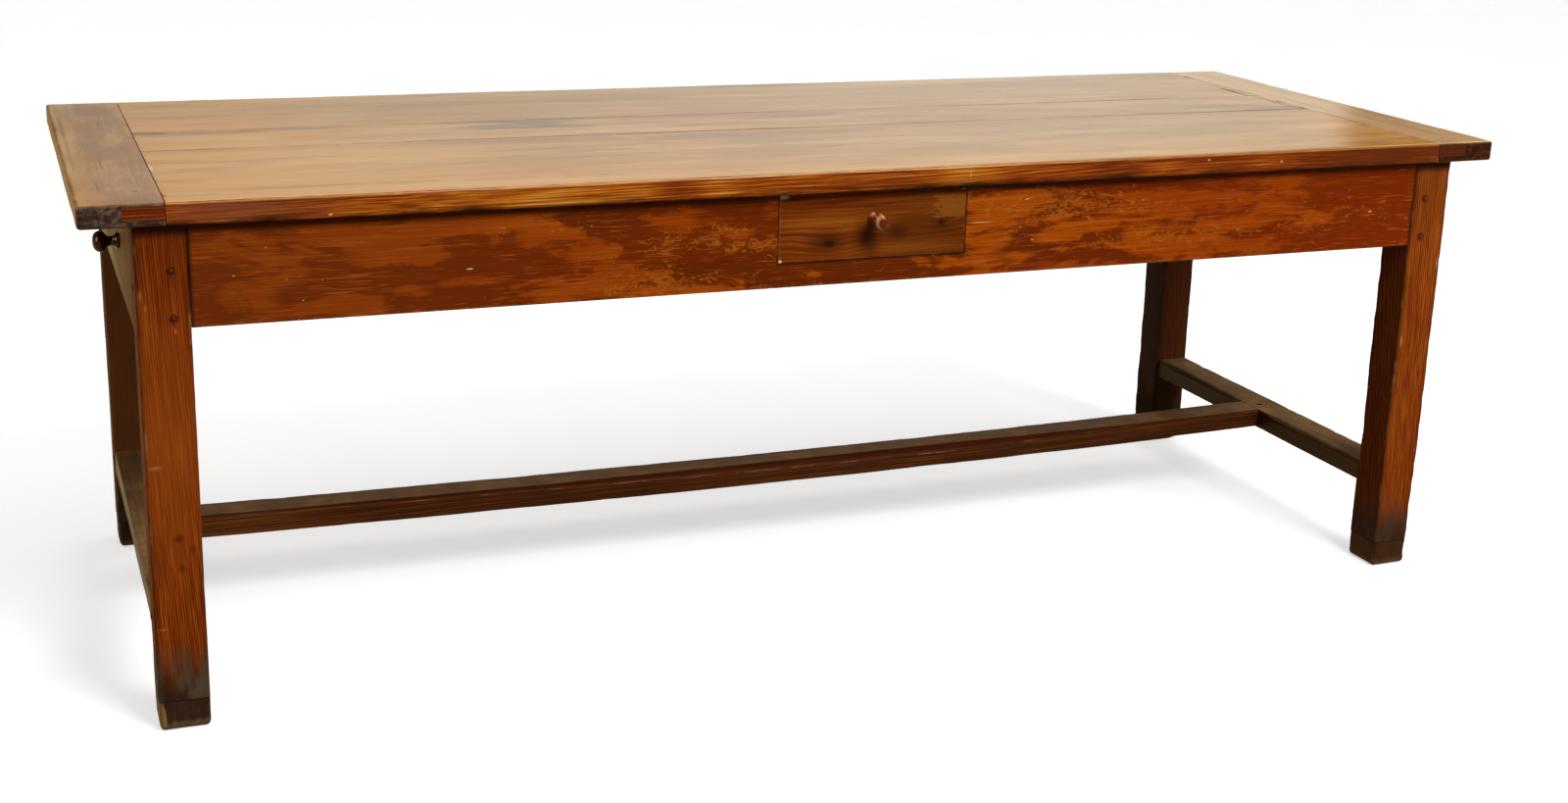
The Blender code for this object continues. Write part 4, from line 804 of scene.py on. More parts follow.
def foot_finish():
    """Oak blocks, blackened by mopping and scuffed back to pale wood along the floor and on the kicked corner."""
    wood = Finish("scuffed oak foot", 0.62, 0.15, "#FFD0A0")
    tone, _, fibres, _ = wood.figure(wood.grain("z", (0.05, 0.12), (0.02, 0.02)), 0.005, 0.02, 320)
    patchy = wood.noise(wood.place, (45, 45, 60), 5, 0.65)
    wood.start(wood.weigh(tone, 0.3, fibres, 0.35, patchy, 0.45),
               (0.38, "#160E0A", 0.52, "#2B1B13", 0.64, "#42291A", 0.8, "#5E422C"), 0.2, "foot")
    wood.lay("#7A6046", wood.weigh(patchy, -0.02, wood.z, 1), -0.006, 0.008, 0.85, 0)
    kicked = wood.spots((((-1.082, MIDDLE_Y - 0.395, 0.02), (0.008, 0.04, 0.036), 2.8),
                         ((-1.079, MIDDLE_Y - 0.411, 0.018), (0.013, 0.014, 0.04), 2)))
    wood.lay("#9A7040", wood.weigh(patchy, -1.2, kicked, 1), -0.25, 0.15, 0, 0.9)
    wood.lay("#3C1C0A", wood("range", wood.x, -0.5, 0.5, 0, 0.45))
    wood.lay("#0E0806", wood.line(wood.z, FOOT_JOINT, 0.003), 0.6)
    return wood.fit(wood.weigh(fibres, 0.5, patchy, 0.6), 0.0006)


def stretcher_finish(name, along):
    """Oak stretchers, dark with wax and dirt on their sides, scuffed dusty brown on top by boots; the cross ones
    have painted shade on the faces turned to the left. The worn chamfer between them is deep red, where the dust
    doesn't lie."""
    wood = Finish(name, 0.5, 0.15, "#FFC890")
    tone, rings, fibres, pores = wood.figure(wood.grain(along, (0.04, 0.13), (0.01, 0.008)), 0.005, 0.02)
    wood.start(wood.weigh(tone, 0.5, rings, 0.1, fibres, 0.5, start=-0.05),
               (0.4, "#34160A", 0.5, "#582A10", 0.58, "#784018", 0.7, "#926030"), 0.25, "stretcher")
    sideways, _, up = wood.facing()
    patchy = wood.noise(wood.place, (14, 14, 14), 5, 0.6)
    # Painted shade on the faces of the cross stretchers that turn to the left
    if along == "y":
        wood.lay("#170B05", wood("range", sideways, -0.4, -0.9, 0, 0.78))
    wood.lay("#4A1608", up, 0.2, 0.7, 0, 0.8 if along == "x" else 0)
    dusty = wood("times", wood("fade", up, 0.9 if along == "x" else 0.5, 0.985, 0, 1),
                 wood("range", patchy, 0.25, 0.6, 0.55, 1))
    dust = wood("ramp", wood.weigh(patchy, 0.6, fibres, 0.4), stops=(
        0.38, "#6E4C28", 0.52, "#8A643A", 0.66, "#A67E52"))
    wood.lay(wood("mix", 0.3, dust, colour_of("dust")), dusty)
    if along == "x":
        rub = wood("times", wood.line(up, 0.3, 0.22), wood("range", patchy, 0.5, 0.62, 0, 0.7))
        wood.lay("#B88A60", wood("times", rub, wood("range", wood.z, 0.15, 0.156, 0, 1)))
    return wood.fit(wood.weigh(fibres, 0.5, rings, 0.3, pores, -0.5), 0.0003,
                    Roughness=wood.weigh(patchy, 0.2, dusty, 0.25, start=0.28))


def peg_finish():
    """Cleft oak pegs, end grain out: red-brown with wax, with a shiny rubbed crown and a dark rim of dirt."""
    wood = Finish("cleft oak peg", 0.34, 0.22, "#FFB070")
    speck = wood("TexNoise", Vector=wood.place, Scale=900, Detail=2)
    edge = wood("Attribute", out=2, attribute_name="edge")
    wood.start(wood.weigh(speck, 0.3, edge, -110, start=0.57),
               (0.34, "#3A1206", 0.46, "#541E08", 0.62, "#7A3210"))
    return wood.fit(speck, 0.0003)


def drawer_finish(name, node, dust):
    """Knotty pine, stained walnut brown: rings run round three knots beside the knob, one corner has a paler
    rectangle, and the edges are rubbed to pale wood. The knots are stained dark, and painted shade darkens the wood
    to the left of and below the knob. The end drawer has a film of dust."""
    wood = Finish(name, 0.4, 0.08 + dust * 0.2, "#FFB878")
    low, high = (corner.copy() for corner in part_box(node))
    x, y, z = wood.x, wood.y, wood.z
    if dust:
        # Seen from its own end of the table: across is y, and depth is x
        x, y = wood("minus", y, MIDDLE_Y), x
        low.x, low.y = low.y - MIDDLE_Y, low.x
        high.x, high.y = high.y - MIDDLE_Y, high.x
    place = wood("CombineXYZ", x, y, z)

    def marked(*rows, depth=0.2):
        return wood.spots(on_front(low.y, depth, *rows), place)

    knots = ((-0.073, 0.655, 0.022), (0.115, 0.679, 0.015), (0.042, 0.67, 0.022))
    bend = marked(*((across, up - wide * 0.2, wide * 3.2, wide * 1.5, 0.01) for across, up, wide in knots))
    bent = wood("CombineXYZ", x, y, wood("plus", z, bend))
    grain = wood("Mapping", Vector=bent, Location=(0.2, 0.03, -0.52), Rotation=(0, 0.01, 0.006))
    tone, rings, fibres, _ = wood.figure(grain, 0.0045, 0.02, 480)
    wood.start(wood.weigh(tone, 0.45, rings, 0.05, fibres, 0.5, start=-0.005), (
        0.37, "#280E02", 0.44, "#481A04", 0.5, "#652605", 0.56, "#7C3308", 0.65, "#9A4E18"), 0.25, "drawer")
    wood.lay("#4C260A", wood.weigh(tone, 0.1, x, 1), 0, 0.14, 0, 0.5)
    glow = marked((-0.06, 0.69, 0.13, 0.022, 0.8), (0.04, 0.643, 0.15, 0.018, 0.6), (0.08, 0.705, 0.07, 0.02, 0.4))
    wood.lay("#B0621A", wood("times", glow, fibres))
    # Dark stains round the three knots, and painted shade in two spots to the left of and below the knob
    stain_and_knob_shade = marked((-0.078, 0.659, 0.05, 0.026, 1), (0.112, 0.676, 0.035, 0.022, 0.7),
                   (0.04, 0.668, 0.034, 0.022, 1), (-0.012, 0.668, 0.034, 0.034, 0.8),
                   (0, 0.64, 0.03, 0.03, 0.5))
    wood.lay("#331A0A", wood.weigh(stain_and_knob_shade, 0.6, tone, 0.5), 0.32, 0.85, 0, 0.75)
    heart = marked(*((across, up, wide * 0.7, wide * 0.5, 1.5) for across, up, wide in knots[:2]))
    heart = wood("fade", wood.weigh(heart, 1, fibres, 1.4), 0.85, 2.1, 0, 0.9)
    wood.lay("#1E0F06", heart)
    ragged = wood.noise(place, (160, 160, 160), 3)
    left = wood("fade", wood.weigh(ragged, 0.05, fibres, 0.06, x, 1), 0.152, 0.168, 0, 1)
    height = wood.weigh(ragged, 0.006, z, 1)
    patch = wood("times", wood("times", left, wood("fade", height, 0.6885, 0.6915, 0, 1)),
                 wood("fade", height, 0.7235, 0.7265, 1, 0))
    wood.lay("#A8641E", patch, 0.42)
    sides = [wood("minus", *pair) for pair in ((x, low.x), (z, low.z), (high.x, x), (high.z, z))]
    nearest = sides[0]
    for side in sides[1:]:
        nearest = wood("least", nearest, side)
    chip = wood.noise(place, (90, 90, 90), 4, 0.65)
    wood.lay("#946A3C", wood.weigh(chip, -0.012, nearest, 1), -0.0065, -0.0042, 0.5, 0)
    chipped = marked((low.x + 0.004, high.z - 0.003, 0.014, 0.005, 1.8),
                     (low.x + 0.002, low.z + 0.002, 0.0045, 0.0045, 1.3),
                     (high.x - 0.003, high.z - 0.004, 0.008, 0.003, 0.4), depth=0.1)
    wood.lay("#F2DCB8", wood("least", chipped, 0.9))
    bottom = wood("plus", sides[1], wood("range", x, -0.02, 0.04, 0.0014, 0))
    rubbed = wood("least", wood("least", sides[0], bottom), wood("plus", sides[2], 0.0008))
    wood.lay("#D08848", wood.weigh(chip, 0.006, rubbed, 1), 0.0026, 0.0046, 0.5, 0)
    wood.lay("#6C6038", wood("range", tone, 0.3, 0.7, dust * 0.8, dust * 1.2))
    return wood.fit(wood.weigh(fibres, 0.5, rings, 0.35, heart, -0.4), 0.00025,
                    Roughness=wood.weigh(tone, 0.25, fibres, 0.12, start=0.2 + dust * 0.4))


def bare_finish(name, along, ring, pale, dark):
    """Sawn wood that never had a finish: dry, matt, and a little greyed and dusty."""
    wood = Finish(name, 0.8, 0.25)
    tone, rings, fibres, pores = wood.figure(wood.grain(along, (0.06, 0.08), (0.01, 0.012)), ring, 0.02, 260)
    wood.start(wood.weigh(tone, 0.45, rings, 0.25, fibres, 0.38), (0.36, dark, 0.56, pale, 0.8, "#B79A70"),
               0.25, "bare")
    wood.lay(dark, pores, 0.4)
    return wood.fit(wood.weigh(fibres, 0.6, rings, 0.3, pores, -0.5), 0.0005)


def knob_finish(name, base, dark, middle, pale, highlighted):
    """Turned fruitwood under shellac that hands have rubbed to a shine: clear and glossy, darkest in its hollows.
    The front one carries painted highlights in a pale crescent round the left of its face and in a spot on its neck."""
    wood = Finish(name, 0.2, 0.28, "#FFC090")
    streak = wood.noise(wood.place, (260, 40, 260), 3)
    edge = wood("Attribute", out=2, attribute_name="edge")
    wood.start(wood.weigh(streak, 0.5, edge, 38), (0.4, dark, 0.72, middle, 0.95, pale), 0.4, base)
    if highlighted:
        low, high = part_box("front_knob")
        centre, rim = (low + high) / 2, (high.x - low.x) * 0.4
        # Painted highlights: a pale crescent round the left of the front knob's face and a spot on the upper left of
        # its neck
        pale_highlight = on_front(low.y + 0.008, 0.01, *(
            (centre.x + rim * math.cos(turn), centre.z + rim * math.sin(turn), 0.0042, 0.0042, 1.3)
            for turn in np.radians((110, 138, 166, 194, 222, 250))))
        pale_highlight += on_front(high.y - 0.026, 0.01, (centre.x - 0.006, centre.z + 0.009, 0.006, 0.005, 1.4))
        wood.lay("#E6B07A", wood("times", wood.spots(pale_highlight), wood("range", streak, 0.35, 0.6, 0.4, 1),
                                 use_clamp=True))
    return wood.fit(streak, 0.0001)


# Operators: one for each piece or group of like pieces


class BAKERY_OT_stage(bpy.types.Operator):
    """Make the floor, the light and the camera"""
    bl_idname = "bakery_table.stage"
    bl_label = "Stage"

    def execute(self, context):
        look = context.scene.stage_look
        self.make_floor()
        self.make_dome(context.scene, look.dome)
        for name, place, aim, size, power in (
                ("front light", (1.3, -3.7, 4.1), (0, 0, 0.5), (2.6, 2), look.key),
                ("overhead light", (0.2, 0.3, 3.4), (0, 0, 0.7), (3.4, 2), look.top)):
            light = bpy.data.lights.new(name, "AREA")
            light.shape, light.energy = "RECTANGLE", power
            light.size, light.size_y = size
            lamp = placed(name, light)
            lamp.location = place
            lamp.rotation_euler = (Vector(aim) - Vector(place)).to_track_quat("-Z", "Y").to_euler()
        self.make_camera(context.scene)
        return {"FINISHED"}

    def make_floor(self):
        """A flat grid of 60 by 60 m. To the camera it is white paper and in reflections a warm pale one; for the
        light that it throws back it is a grey floor, so that the table's underside stays as dark as it is."""
        steps = np.linspace(-FLOOR_REACH, FLOOR_REACH, FLOOR_LINES)
        points = np.stack(np.meshgrid(steps, steps, [0], indexing="ij"), -1).reshape(-1, 3)
        index = np.arange(len(points)).reshape(FLOOR_LINES, -1)
        faces = np.stack([index[:-1, :-1], index[1:, :-1], index[1:, 1:], index[:-1, 1:]], -1).reshape(-1, 4)
        mesh = bpy.data.meshes.new("floor")
        mesh.from_pydata(points.tolist(), [], faces.tolist())
        sheet = Finish("seamless paper", 0.9, 0.1)
        camera, glossy, sent = (sheet("LightPath", out=place) for place in LIGHT_PATHS)
        seen = sheet("most", sheet("most", camera, glossy), sent)
        speck = sheet("TexNoise", Vector=sheet.place, Scale=3, Detail=4)
        paper = sheet("mix", glossy, sheet("ramp", speck, stops=(0.3, "#F1F0EE", 0.7, "#F6F5F4")), "#D2BC8C")
        sheet.link(Base_Color=sheet("mix", seen, (0.08, 0.076, 0.072, 1), paper),
                   Emission_Color=sheet("mix", glossy, "#FFFFFF", "#E6CE98"),
                   Emission_Strength=sheet("times", seen, 0.55))
        mesh.materials.append(sheet.material)
        placed("floor", mesh)

    def make_dome(self, scene, strength):
        """Light from all round that grows with height and towards the front. The camera sees white paper. What
        is polished mirrors a pale warm ring, dimmer on the left and with a dark gap far to the right, and rounded
        things also catch a small bright panel on the left."""
        world = bpy.data.worlds.new("studio")
        world.use_nodes = True
        sky = Nodes(world.node_tree)
        way = sky("TexCoord", out=0)
        x, y, z = (sky("SeparateXYZ", way, out=part) for part in range(3))
        fore = sky("VectorMath", way, (0.35, -0.9, 0), out=1, operation="DOT_PRODUCT")
        lit = sky("times", sky("fade", z, 0.05, 0.85, 0.08 * strength, 1.5 * strength),
                  sky("range", fore, -1, 1, 0.45, 1.55))
        turn = sky("Math", x, y, operation="ARCTAN2")
        ring = ((-180, 0.6), (-90, 0.35), (-25, 0.3), (-2, 0.17), (2, 0.43), (10, 0.72), (24, 0.95), (31, 0.95),
                (37, 0.8), (180, 0.6))
        mirrored = sky("ramp", sky("range", turn, -math.pi, math.pi, 0, 1),
                       stops=[part for angle, level in ring for part in ((angle + 180) / 360, level)])
        gap = sky("times", sky("fade", turn, math.radians(37), math.radians(38), 0, 0.98),
                  sky("fade", turn, math.radians(75), math.radians(95), 1, 0))
        mirrored = sky("times", sky("between", gap, mirrored, 0.06), sky("fade", z, 0.14, 0.22, 0.92, 0.76))
        panel = sky("VectorMath", way, (-0.84, -0.33, 0.43), out=1, operation="DOT_PRODUCT")
        mirrored = sky("plus", mirrored, sky("range", panel, 0.955, 0.965, 0, 14))
        camera, glossy, sent = (sky("LightPath", out=place) for place in LIGHT_PATHS)
        bright = sky("between", sky("most", camera, sent), sky("between", glossy, lit, mirrored), 1)
        background = sky.tree.nodes["Background"]
        sky.tree.links.new(bright, background.inputs["Strength"])
        sky.tree.links.new(sky("mix", glossy, "#FFFFFF", "#FFF9E7"), background.inputs["Color"])
        scene.world = world

    def make_camera(self, scene):
        """A camera whose axes follow from yaw, pitch and roll, with the axis above the middle of the frame."""
        ahead = Vector((math.sin(CAMERA_YAW) * math.cos(CAMERA_PITCH),
                        math.cos(CAMERA_YAW) * math.cos(CAMERA_PITCH), -math.sin(CAMERA_PITCH)))
        right = Vector((math.cos(CAMERA_YAW), -math.sin(CAMERA_YAW), 0))
        up = right.cross(ahead)
        rolled_right = right * math.cos(CAMERA_ROLL) + up * math.sin(CAMERA_ROLL)
        rolled_up = up * math.cos(CAMERA_ROLL) - right * math.sin(CAMERA_ROLL)
        data = bpy.data.cameras.new("camera")
        data.sensor_fit = "HORIZONTAL"
        data.sensor_width = SENSOR_WIDTH
        data.lens = FOCAL_PIXELS * SENSOR_WIDTH / IMAGE_WIDTH
        data.shift_y = (AXIS_ROW - IMAGE_HEIGHT / 2) / IMAGE_WIDTH
        scene.camera = placed("camera", data)
        turn = Matrix((rolled_right, rolled_up, -ahead)).transposed()
        scene.camera.matrix_world = Matrix.Translation(CAMERA_PLACE) @ turn.to_4x4()
        scene.view_settings.view_transform = "Standard"


class BAKERY_OT_top(bpy.types.Operator):
    """Make the three planks and the two cleats of the top"""
    bl_idname = "bakery_table.top"
    bl_label = "Top"

    # Arrises of the slab's rubbed sides and of its joints, and the length of tongue that is made
    RUBBED, SEAM, CLEAT_RUBBED, CLEAT_JOINT = 0.0042, 0.002, 0.0045, 0.0005
    TONGUE_SHOWN = 0.06

    def execute(self, context):
        plank = [top_finish("waxed fruitwood plank", "top", "x"), edge_finish("old fruitwood long edge", "x")]
        cleat = [top_finish("waxed fruitwood cleat", "cleat", "y"), edge_finish("old fruitwood cleat edge", "y")]
        tongue = tongue_finish()
        chip = worn("chip") * 0.6
        for number, (name, front, rear, lines, count) in enumerate((
                ("plank_front", self.RUBBED, self.SEAM, ((-1, 1), (-1, -1)), 12),
                ("plank_middle", self.SEAM, self.SEAM, ((-1, 1),), 4),
                ("plank_rear", self.SEAM, self.RUBBED, ((1, 1), (1, -1)), 12))):
            low, high = corners(name)
            low[0], high[0] = GAP - JOINT_X, JOINT_X - GAP
            arris = np.array([front, rear, rear, front])
            dents = edge_chips(low, high, "x", lines, count, 40 + number, chip)
            shell = board(low, high, "x", arris, SAWN, 330, 18, seed=10 * number + 3,
                          wear=worn("edge") * np.where(arris > self.SEAM, 0.35, 0.3),
                          dents=dents + self.face_dents(low, high, 90 + number, 14))
            piece(name, [shell], plank)
        for name, end in (("cleat_left", -1), ("cleat_right", 1)):
            low, high = corners(name)
            # Carried along y, a section's first direction is z and its second is x
            arris = np.repeat([self.CLEAT_RUBBED, self.CLEAT_JOINT][::-end], 2)
            shell = board(low, high, "y", arris, (self.CLEAT_RUBBED,) * 2, 150, 14, seed=70 + end,
                          wear=worn("edge") * np.where(arris > self.CLEAT_JOINT, 0.5, 0.1),
                          dents=edge_chips(low, high, "y", ((-1, end), (1, end)), 8, 60 + end, chip))
            piece(name, [shell], cleat)
        self.make_tongues(tongue)
        return {"FINISHED"}

    def face_dents(self, low, high, seed, count):
        """Shallow knocks in the face: bells of 8 to 30 mm across and up to 0.5 mm deep."""
        draw = np.random.default_rng(seed)
        return [((draw.uniform(low[0], high[0]), draw.uniform(low[1], high[1]), high[2]),
                 (draw.uniform(0.01, 0.03), draw.uniform(0.008, 0.016), 0.02), draw.uniform(0.0001, 0.0005))
                for _ in range(count)]

    def make_tongues(self, material):
        """The ends of the tongues, which show in the cleats' front and rear ends: short boards that stand out of
        the hollowed faces round them by less than a millimetre."""
        shells = []
        for end in (-1, 1):
            for face, inward in ((TOP_LOW.y, self.TONGUE_SHOWN), (TOP_HIGH.y, -self.TONGUE_SHOWN)):
                x_low, x_high = sorted((end * JOINT_X, end * TONGUE_REACH))
                y_low, y_high = sorted((face, face + inward))
                shells.append(board((x_low, y_low, TONGUE_LOW), (x_high, y_high, TONGUE_HIGH), "y", (0.0006,) * 4,
                                    EASED, 8, 8, wear=0.0004, seed=110 + end, hollow=0))
        piece("plank_tongues", shells, [material], suffix="")


class BAKERY_OT_legs(bpy.types.Operator):
    """Make the four legs and the blocks tipped on to them"""
    bl_idname = "bakery_table.legs"
    bl_label = "Legs and Feet"

    def execute(self, context):
        leg_material, foot_material = leg_finish(), foot_finish()
        lines = ((-1, -1), (1, -1), (1, 1), (-1, 1))
        for number, corner in enumerate(("front_left", "front_right", "rear_left", "rear_right")):
            low, high = corners("leg_" + corner)
            foot_low, foot_high = corners("foot_" + corner)
            low[2] = foot_high[2] + GAP
            shell = board(low, high, "z", (0.003,) * 4, EASED, 120, 10, seed=210 + 7 * number,
                          dents=edge_chips(low, high, "z", lines, 26, 200 + number))
            piece("leg_" + corner, [shell], [leg_material])
            shell = board(foot_low, foot_high, "z", (0.005,) * 4, (0.011, 0.0008), 26, 12, wear=0.004,
                          seed=250 + 5 * number,
                          dents=edge_chips(foot_low, foot_high, "z", lines, 8, 240 + number, 0.0022))
            piece("foot_" + corner, [shell], [foot_material])
        return {"FINISHED"}


class BAKERY_OT_stretchers(bpy.types.Operator):
    """Make the two cross stretchers and the long one between them"""
    bl_idname = "bakery_table.stretchers"
    bl_label = "Stretchers"

    # The plain arris, how near the cut ones come to a chamfer, and the long bar's sag and planed underside
    SMALL, FLAT = 0.0018, 0.75
    SAG, LIFT, LIFT_START, LIFT_RUN = 0.009, 0.003, 0.193, 0.012

    def execute(self, context):
        chamfer = context.scene.table_wear.chamfer
        cross = stretcher_finish("scuffed oak cross stretcher", "y")
        for end_name, end in (("left", -1), ("right", 1)):
            low, high = corners("cross_stretcher_" + end_name)
            low[1], high[1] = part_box("leg_front_left")[1].y + GAP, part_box("leg_rear_left")[0].y - GAP
            # Carried along y, a section's first direction is z and its second is x
            arris = np.array([self.SMALL, *(self.SMALL, chamfer)[::-end], self.SMALL])
            cut = arris > self.SMALL
            stop = self.stopped(((low[1] + 0.02, MIDDLE_Y - 0.04), (MIDDLE_Y + 0.05, high[1] - 0.02)), 0.03, cut)
            shell = board(low, high, "y", arris, SAWN, 110, 9, wear=0.0016, seed=310 + end,
                          flat=self.FLAT * cut, stop=stop,
                          dents=edge_chips(low, high, "y", ((1, -end), (1, end)), 12, 320 + end))
            piece("cross_stretcher_" + end_name, [shell], [cross])
        self.make_long(chamfer)
        return {"FINISHED"}

    def stopped(self, spans, run, cut):
        """A rule for chamfers that stop short of the joints: the corner radii keep their size inside the spans
        and fall to a third of it over the run outside them."""
        def rule(places):
            share = np.zeros(len(places))
            for start, stop in spans:
                rise = np.clip((places - start) / run, 0, 1) * np.clip((stop - places) / run, 0, 1)
                share = np.maximum(share, rise * rise * (3 - 2 * rise))
            return np.where(cut, (0.3 + 0.7 * share)[:, None], 1)
        return rule

    def make_long(self, chamfer):
        low, high = corners("long_stretcher")
        low[0], high[0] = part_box("cross_stretcher_left")[1].x + GAP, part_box("cross_stretcher_right")[0].x - GAP
        lift_x = high[0] - self.LIFT_START - self.LIFT_RUN / 2
        # Carried along x, a section's first direction is y and its second is z
        cut = np.array([False, False, False, True])

        def stop(places):
            """The chamfer grows from a quarter of its width at the left end to all of it at x = 0.15, and fades to
            a quarter again between x = 0.40 and 0.75."""
            share = np.clip((places + 1) / 1.15, 0, 1) * np.clip((0.75 - places) / 0.35, 0, 1)
            return np.where(cut, (0.25 + 0.75 * share)[:, None], 1)

        def planed(points):
            """Lets the whole bar sag in its middle, as a parabola between its ends, and lifts the underside near
            the right end, with an even slope over a short run."""
            share = np.clip((points[..., 0] - lift_x) / self.LIFT_RUN, 0, 1)
            height = np.clip((points[..., 2] - low[2]) / (high[2] - low[2]), 0, 1)
            reach = np.clip((points[..., 0] - low[0]) / (high[0] - low[0]), 0, 1)
            lifted = points.copy()
            lifted[..., 2] += self.LIFT * share * (1 - height) - self.SAG * 4 * reach * (1 - reach)
            return lifted

        shell = board(low, high, "x", (self.SMALL, self.SMALL, 0.003, chamfer * 1.9), SAWN, 340, 9,
                      wear=0.0014, seed=345, flat=self.FLAT * cut, stop=stop, alter=planed,
                      dents=edge_chips(low, high, "x", ((-1, 1), (1, 1)), 16, 340, worn("chip") * 0.7))
        piece("long_stretcher", [shell], [stretcher_finish("scuffed oak long stretcher", "x")])


class BAKERY_OT_pegs(bpy.types.Operator):
    """Make the round-headed pegs that lock the joints"""
    bl_idname = "bakery_table.pegs"
    bl_label = "Pegs"

    # The head spreads over its hole: depths of its rim, of its root and of the lip below, and how far it spreads
    RIM, SUNK, LIP, SPREAD, CROWN_STEPS = 0.0003, 0.0002, 0.0005, 1.2, 7

    def execute(self, context):
        proud = context.scene.table_wear.peg_proud
        material = peg_finish()
        middle = Vector((0, MIDDLE_Y, 0))
        for number, name in enumerate(sorted(node for node in NODES if node.startswith("peg_"))):
            low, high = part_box(name)
            size, centre = high - low, (low + high) / 2
            axis = max(range(3), key=lambda part: size[part])
            way = Vector((0, 0, 0))
            way[axis] = 1 if axis == 2 or (centre - middle)[axis] > 0 else -1
            radius, length = min(size) / 2, size[axis]
            spread, rim, rise = radius * self.SPREAD, length - self.RIM, proud - self.SUNK
            crown = [(spread * math.cos(step), rim + rise * math.sin(step))
                     for step in np.linspace(0, np.pi / 2, self.CROWN_STEPS)[:-1]]
            profile = [(0, 0), (radius, 0), (radius, length / 2), (radius, rim - self.LIP), *crown, (0, rim + rise)]
            shell = turned(profile, 24, centre - way * (length / 2), way, 0.018 + 0.006 * (number % 3))
            piece(name, [shell], [material], suffix="_head")
        return {"FINISHED"}


class BAKERY_OT_knobs(bpy.types.Operator):
    """Make the turned knobs of the two drawers"""
    bl_idname = "bakery_table.knobs"
    bl_label = "Knobs"

    # Radius and height in millimetres
    FRONT = ((0, -6), (5, -6), (5, 0), (10.3, 0), (10.5, 1.4), (10.3, 3), (8.8, 4.2), (7.4, 4.9), (7.7, 6),
             (8.3, 7.1), (7.9, 8.3), (6.6, 9.6), (6.2, 12.5), (6.4, 15.5), (7.8, 18.6), (10.4, 20.8), (12.8, 23),
             (13.6, 26), (13.7, 29.5), (13.3, 32.5), (12.1, 35.2), (10.3, 36.7), (9.2, 37), (8.6, 37.6),
             (6.5, 39), (3.4, 39.8), (0, 40))
    END = ((0, -6), (5, -6), (5, 0), (11.8, 0), (12, 1.6), (11.8, 3.6), (10.6, 5.6), (8.6, 7.4), (7.3, 9.6),
           (7, 12.4), (7.4, 15.2), (9.2, 17.8), (12.4, 20), (14.9, 22.8), (15.8, 26.2), (15.6, 29.4),
           (14, 32.8), (11, 35.4), (7, 36.9), (3.2, 37.4), (0, 37.5))

    def execute(self, context):
        red = knob_finish("shellacked fruitwood front knob", "red_knob", "#3A0E02", "#5A1407", "#B4481A", True)
        dark = knob_finish("shellacked fruitwood end knob", "dark_knob", "#120706", "#38140C", "#50221A", False)
        for name, profile, material, slot, body, way in (
                ("front_knob", self.FRONT, red, "red_knob", "front_drawer", (0, -1, 0)),
                ("end_knob_front", self.END, dark, "dark_knobs", "end_drawer", (-1, 0, 0)),
                ("end_knob_rear", self.END, dark, "dark_knobs", "end_drawer", (-1, 0, 0))):
            low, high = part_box(name)
            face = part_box(body + "_front")[0]
            centre = (low + high) / 2
            origin = Vector([face[part] - GAP if way[part] else centre[part] for part in range(3)])
            item = piece(name, [turned(np.array(profile) / 1000, 40, origin, way, 0.004)], [material], body,
                         "_turned")
            subdivision = item.modifiers.new("rounding", "SUBSURF")
            subdivision.levels = subdivision.render_levels = 2
        return {"FINISHED"}


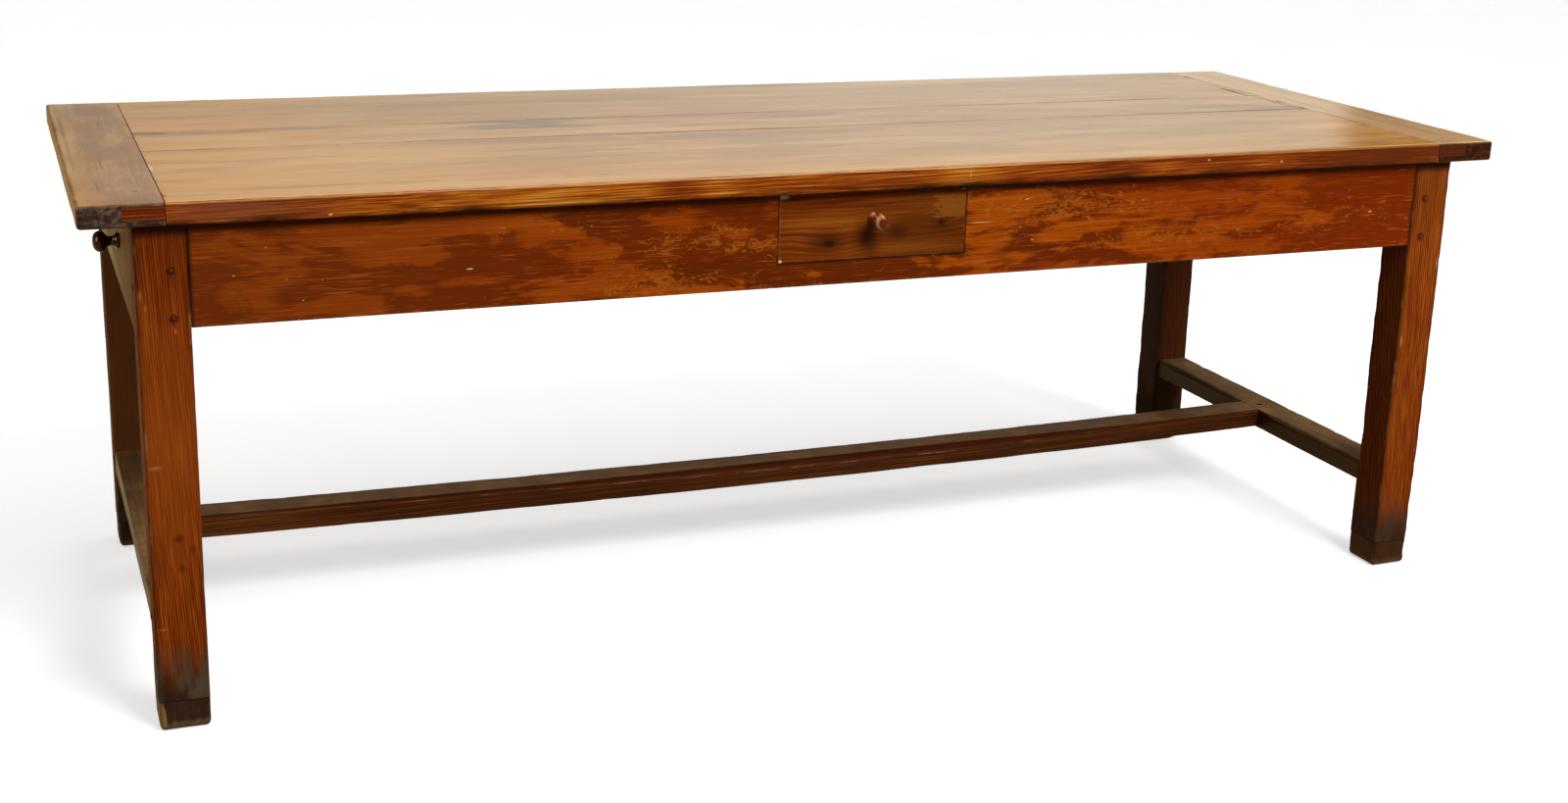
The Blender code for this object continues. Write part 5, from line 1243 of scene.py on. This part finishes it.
class BAKERY_OT_frame(bpy.types.Operator):
    """Finish the rails, the drawers and the bars inside"""
    bl_idname = "bakery_table.frame"
    bl_label = "Rails and Drawers"

    def execute(self, context):
        dress(("apron_front", "apron_rear"), rail_finish("worn shellac on pine rail", "x", 0.12, 0))
        dress(("apron_left", "apron_right"), rail_finish("dusty shellac on pine end rail", "y", 0.22, 0.5))
        for name, node, dust in (("stained knotty pine drawer front", "front_drawer_front", 0),
                                 ("dusty knotty pine end drawer front", "end_drawer_front", 0.5)):
            dress((node,), drawer_finish(name, node, dust))
        blocks = [name for name in NODES if name.startswith("glue_block")]
        for wood, ring, pale, dark, along_x, along_y in (
                ("oak", 0.006, "#9C7A50", "#5E4226",
                 ("end_drawer_side_front", "end_drawer_side_rear", "front_drawer_back", "front_drawer_bottom"),
                 ("front_drawer_side_left", "front_drawer_side_right", "end_drawer_back", "end_drawer_bottom")),
                ("beech", 0.005, "#8C6840", "#513720", ("end_runner_front", "end_runner_rear", *blocks),
                 ("front_runner_left", "front_runner_right"))):
            for along, names in (("x", along_x), ("y", along_y)):
                dress(names, bare_finish(f"bare {wood}, fibres along {along}", along, ring, pale, dark))
        return {"FINISHED"}


class BAKERY_PT_table(bpy.types.Panel):
    """Lists the table's pieces, sizes and colours"""
    bl_idname = "BAKERY_PT_table"
    bl_label = "Bakery Table"
    bl_space_type = "VIEW_3D"
    bl_region_type = "UI"
    bl_category = "Bakery Table"

    def draw(self, context):
        layout = self.layout
        for operator in OPERATORS:
            layout.operator(operator.bl_idname, text=operator.bl_label)
        for name in GROUPS:
            group = getattr(context.scene, name)
            column = layout.column(align=True)
            for key in group.bl_rna.properties.keys():
                if key not in {"rna_type", "name"}:
                    column.prop(group, key)


OPERATORS = (BAKERY_OT_stage, BAKERY_OT_top, BAKERY_OT_legs, BAKERY_OT_stretchers, BAKERY_OT_pegs,
             BAKERY_OT_frame, BAKERY_OT_knobs)
GROUPS = {"table_wear": TableWear, "table_colours": TableColours, "stage_look": StageLook}
CLASSES = (*GROUPS.values(), *OPERATORS, BAKERY_PT_table)


def register():
    for kind in CLASSES:
        bpy.utils.register_class(kind)
    for name, group in GROUPS.items():
        setattr(bpy.types.Scene, name, bpy.props.PointerProperty(type=group))


def unregister():
    for name in GROUPS:
        delattr(bpy.types.Scene, name)
    for kind in reversed(CLASSES):
        bpy.utils.unregister_class(kind)


def main():
    register()
    for item in [item for item in bpy.data.objects if item.type in {"LIGHT", "CAMERA"}]:
        bpy.data.objects.remove(item)
    bpy.ops.bakery_table.stage()
    bpy.ops.bakery_table.top()
    bpy.ops.bakery_table.legs()
    bpy.ops.bakery_table.stretchers()
    bpy.ops.bakery_table.pegs()
    bpy.ops.bakery_table.frame()
    bpy.ops.bakery_table.knobs()


if __name__ == "__main__":
    main()
